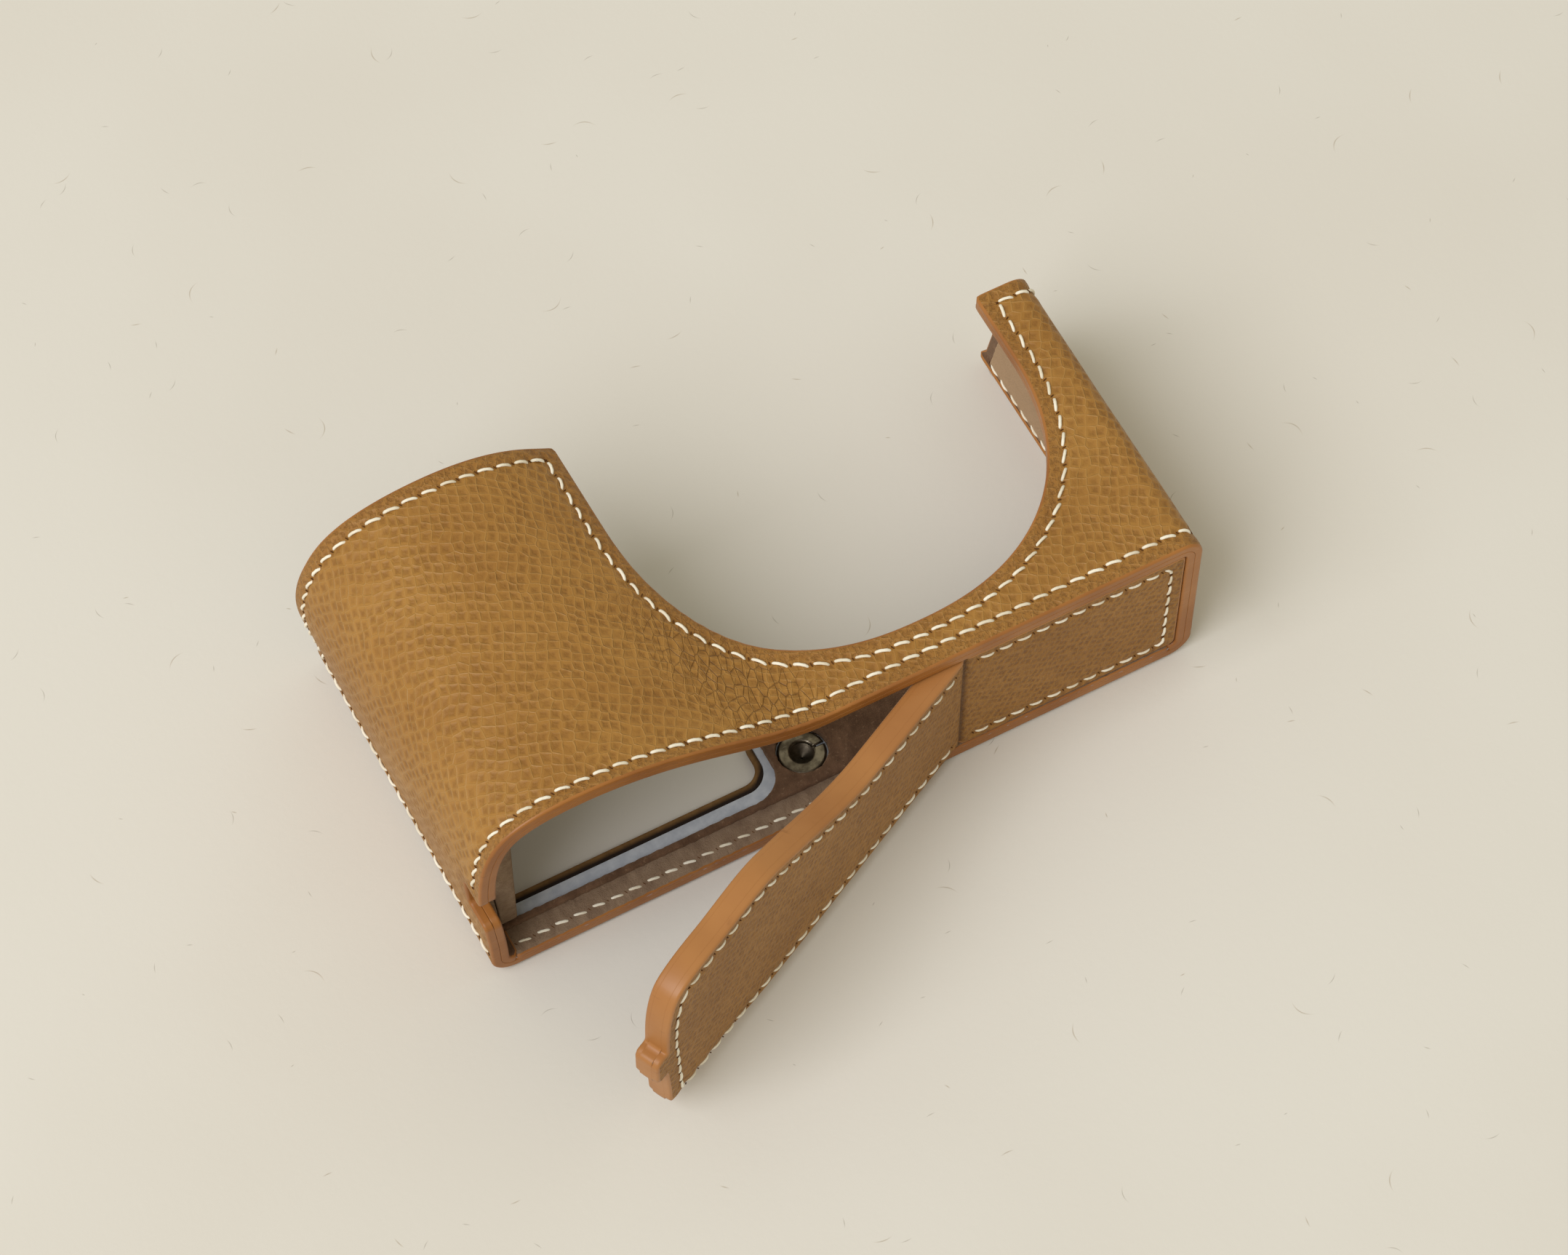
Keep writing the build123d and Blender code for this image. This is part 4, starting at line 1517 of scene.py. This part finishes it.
wall_liner = sheet(
    "wall_liner",
    even_steps(TURN - 1.0, AROUND - TURN + 1.0, 0.8),
    even_steps(LEDGE - 0.5, WING_TOP, 0.8),
    case_place,
    case_normal,
    lambda q, y: liner_outline(q, y) + ragged(q, y, 21, 1.0, 0.2),
    (WALL, WALL + LINER - 0.08),
    [SUEDE, SUEDE_LIT_COPY, SUEDE],
    radii=(0.1, 0.2),
    thickness=liner_depth,
    # the rubbed mark is painted light on the arm's inside wall
    marks={"rubbed": arm_wall_light_share},
)
finish_piece(wall_liner, "case", "suede", "front_liner")

back_us = even_steps(LEFT + CORNER - 0.5, RIGHT - CORNER + 0.5, 0.7)
back_vs = even_steps(BOTTOM - 0.5, TALL_TOP + 0.5, 0.7)


def at_bottom_rim(x, y):
    return y < BOTTOM + 0.6


def back_sheet(name, top, thick, outline, materials, radii):
    return sheet(
        name,
        back_us,
        back_vs,
        flat_at(top),
        facing((0, 0, 1)),
        outline,
        (0.0, thick),
        materials + [RIM_PAINT],
        radii,
        painted=at_bottom_rim,
    )


back_board = back_sheet(
    "back_board", BOARD_TOP, BOARD_TOP - LEATHER, back_layer(BOARD_SETBACK, 2.85), [BOARD] * 3, (0.05, 0.05)
)
finish_piece(back_board, "case", "board", "back_stiffener")
back_suede = back_sheet(
    "back_suede",
    SUEDE_TOP,
    SUEDE_TOP - BOARD_TOP,
    back_layer(SUEDE_SETBACK, SUEDE_HOLE, frayed=0.1, seed=31),
    [SUEDE_LIT_COPY, SUEDE, SUEDE],
    (0.25, 0.1),
)
finish_piece(back_suede, "case", "suede", "back_lining")
back_second_suede = back_sheet(
    "back_second_suede",
    LINER_TOP,
    LINER_TOP - SUEDE_TOP,
    back_layer(SUEDE_SETBACK, SUEDE_HOLE, LEDGE, 0.12, 41),
    [SUEDE] * 3,
    (0.3, 0.1),
)
finish_piece(back_second_suede, "case", "suede", "back_liner")

grip_pad = sheet(
    "grip_pad",
    even_steps(LEDGE, PAD_TOP + 0.5, 0.8),
    even_steps(LINER_TOP, DEPTH + 16, 0.8),
    pad_place,
    facing((1, 0, 0)),
    pad_outline,
    (0.0, 3.0),
    [SUEDE, SUEDE_LIT_COPY, SUEDE],
    radii=(0.5, 0.2),
    thickness=pad_depth,
)
finish_piece(grip_pad, "case", "suede", "end_pad")

# the flap and the fixed panel share one piece of leather, which bends at the fold
fold_zone = np.arange(HINGE_X - 1.4, HINGE_X + 1.41, 0.2)
cover_us = np.concatenate(
    [
        even_steps(TONGUE_END - 0.6, HINGE_X - 1.6, 0.6),
        fold_zone,
        even_steps(HINGE_X + 1.6, RIGHT - WALL + 0.6, 0.6),
    ]
)
cover_vs = even_steps(COVER_BACK - 0.3, DEPTH + 12, 0.6)
cover_leather = sheet(
    "cover_leather",
    cover_us,
    cover_vs,
    cover_place,
    cover_normal,
    cover_outline,
    (0.0, COVER_LEATHER),
    [COVER_OUT, FLAP_PAINT, SUEDE],
    radii=(0.4, 0.02),
    relief=cover_relief,
    bulge=0.22,
    total=(0.0, FLAP_BACK - COVER_FACE),
    marks={"fold": fold_crease_shade_share},
)
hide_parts("panel_leather", "flap_leather")

LINING_BACK = {"flap": FLAP_BACK, "panel": LEDGE}
for part, outline, body, turn in (
    ("flap", flap_outline, "flap", True),
    ("panel", panel_outline, "case", False),
):
    back = LINING_BACK[part]
    layers = (
        ("board", CORE_TOP, back - 1.0, "core", (0.02, 0.02), [BOARD, FLAP_PAINT, BOARD], f"{part}_core"),
        ("suede", back - 1.0, back, "suede", (0.02, 0.4), [SUEDE, FLAP_PAINT, SUEDE], f"{part}_lining"),
    )
    for layer, low_y, high_y, slot_name, radii, finishes, node in layers:
        piece = sheet(
            f"{part}_{layer}",
            cover_us,
            even_steps(COVER_BACK - 0.3, DEPTH + 12, 0.8),
            flap_layer(COVER_FACE) if turn else flat_panel(COVER_FACE),
            facing(outward(FLAP_OPEN)) if turn else facing((0, -1, 0)),
            outline,
            (low_y - COVER_FACE, high_y - COVER_FACE),
            finishes,
            radii=radii,
            bulge=0.22,
            total=(0.0, back - COVER_FACE),
        )
        finish_piece(piece, body, slot_name, node)

ring_line = rounded_ring(2.0, 4.15, BOARD_TOP, BOARD_TOP + 0.75, 0.5)
ring_points, ring_faces = turned(ring_line, gap=0.5)
barrel_line = [(0.2, 0.07), (2.78, 0.07), (2.78, BOARD_TOP), (2.0, BOARD_TOP), (2.0, 0.6), (0.2, 0.6)]
barrel_points, barrel_faces = turned(barrel_line)
offset = len(ring_points)
ring_faces += [tuple(i + offset for i in face) for face in barrel_faces]
snap_ring = make_mesh("snap_socket_ring", np.array(ring_points + barrel_points), ring_faces, [METAL])
finish_piece(snap_ring, "case", "snap_metal", "snap_eyelet")

cap_line = [(2.82, 0.85), (2.82, 0.3), (3.1, 0.12), (3.6, 0.05)]
cap_line += [(4.3, 0.08), (4.8, 0.2), (5.0, 0.4), (5.0, 0.85)]
cap_points, cap_faces = turned(cap_line)
snap_cap = make_mesh("snap_back_cap", np.array(cap_points), cap_faces, [METAL])
finish_piece(snap_cap, "case", "snap_metal", "snap_cap")

# ------------------------------------------------------------------ the stitches

right_inner_row = case_row(
    [right_back_q, right_back_q], [BOTTOM + 24.0, arm_y[-1]], depth=WALL + LINER - 0.1, flip=True
)
ROW_PIECES = (
    ("lens_stitches", [lens_row], "lens_thread"),
    ("grip_top_stitches", [grip_top_row], "grip_top_thread"),
    ("arm_top_stitches", [arm_top_row], "arm_top_thread"),
    ("bottom_stitches", [bottom_row, right_bottom_row], "bottom_thread"),
    ("left_back_stitches", [left_back_row], "left_back_thread"),
    ("right_back_stitches", [right_back_row, right_inner_row], "right_back_thread"),
    ("back_stitches", [back_inner_row, back_outer_row], "back_thread"),
    ("panel_stitches", [panel_row], "panel_thread"),
)
FLAT_STITCH = {"width": 0.5, "rise": 0.17, "gap": 0.42, "slant": 0.22}
FLAT_ROWS = ("panel_stitches", "back_stitches")
for number, (name, rows, node) in enumerate(ROW_PIECES):
    how = FLAT_STITCH if name in FLAT_ROWS else {}
    piece = sew(name, rows, [THREAD, SLIT_SHADE], 100 + 10 * number, **how)
    finish_piece(piece, "case", "thread", node)
flap_stitches = sew("flap_stitches", [flap_row], [THREAD, SLIT_SHADE], 300, **FLAT_STITCH)
finish_piece(flap_stitches, "flap", "thread", "flap_thread")

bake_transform(cover_leather)

# ------------------------------------------------------------------ floor and light
FLOOR_Z = -0.55


def lay_floor():
    half = 1600.0
    corners = [(-half, -half), (half, -half), (half, half), (-half, half)]
    points = np.array([(x, y, FLOOR_Z) for x, y in corners])
    floor = make_mesh("floor", points, [(0, 1, 2, 3)], [FLOOR], smooth=False)


def area_light(name, at, aim, size, power, colour):
    data = bpy.data.lights.new(name, "AREA")
    data.shape = "SQUARE"
    data.size = size
    data.energy = power
    data.color = colour
    lamp = bpy.data.objects.new(name, data)
    bpy.context.scene.collection.objects.link(lamp)
    lamp.location = at
    lamp.rotation_mode = "QUATERNION"
    lamp.rotation_quaternion = (Vector(aim) - Vector(at)).to_track_quat("-Z", "Y")


lay_floor()
area_light("window", (-2.0, -0.55, 2.5), (-0.02, 0.02, 0.0), 2.2, 79.0, (0.935, 0.94, 1.0))
world = bpy.data.worlds.new("room")
bpy.context.scene.world = world
world.use_nodes = True
sky = world.node_tree.nodes["Background"]
sky.inputs["Color"].default_value = (1.0, 0.955, 0.775, 1.0)
sky.inputs["Strength"].default_value = 0.55
bpy.context.scene.view_settings.view_transform = "Standard"
bpy.context.scene.view_settings.look = "None"
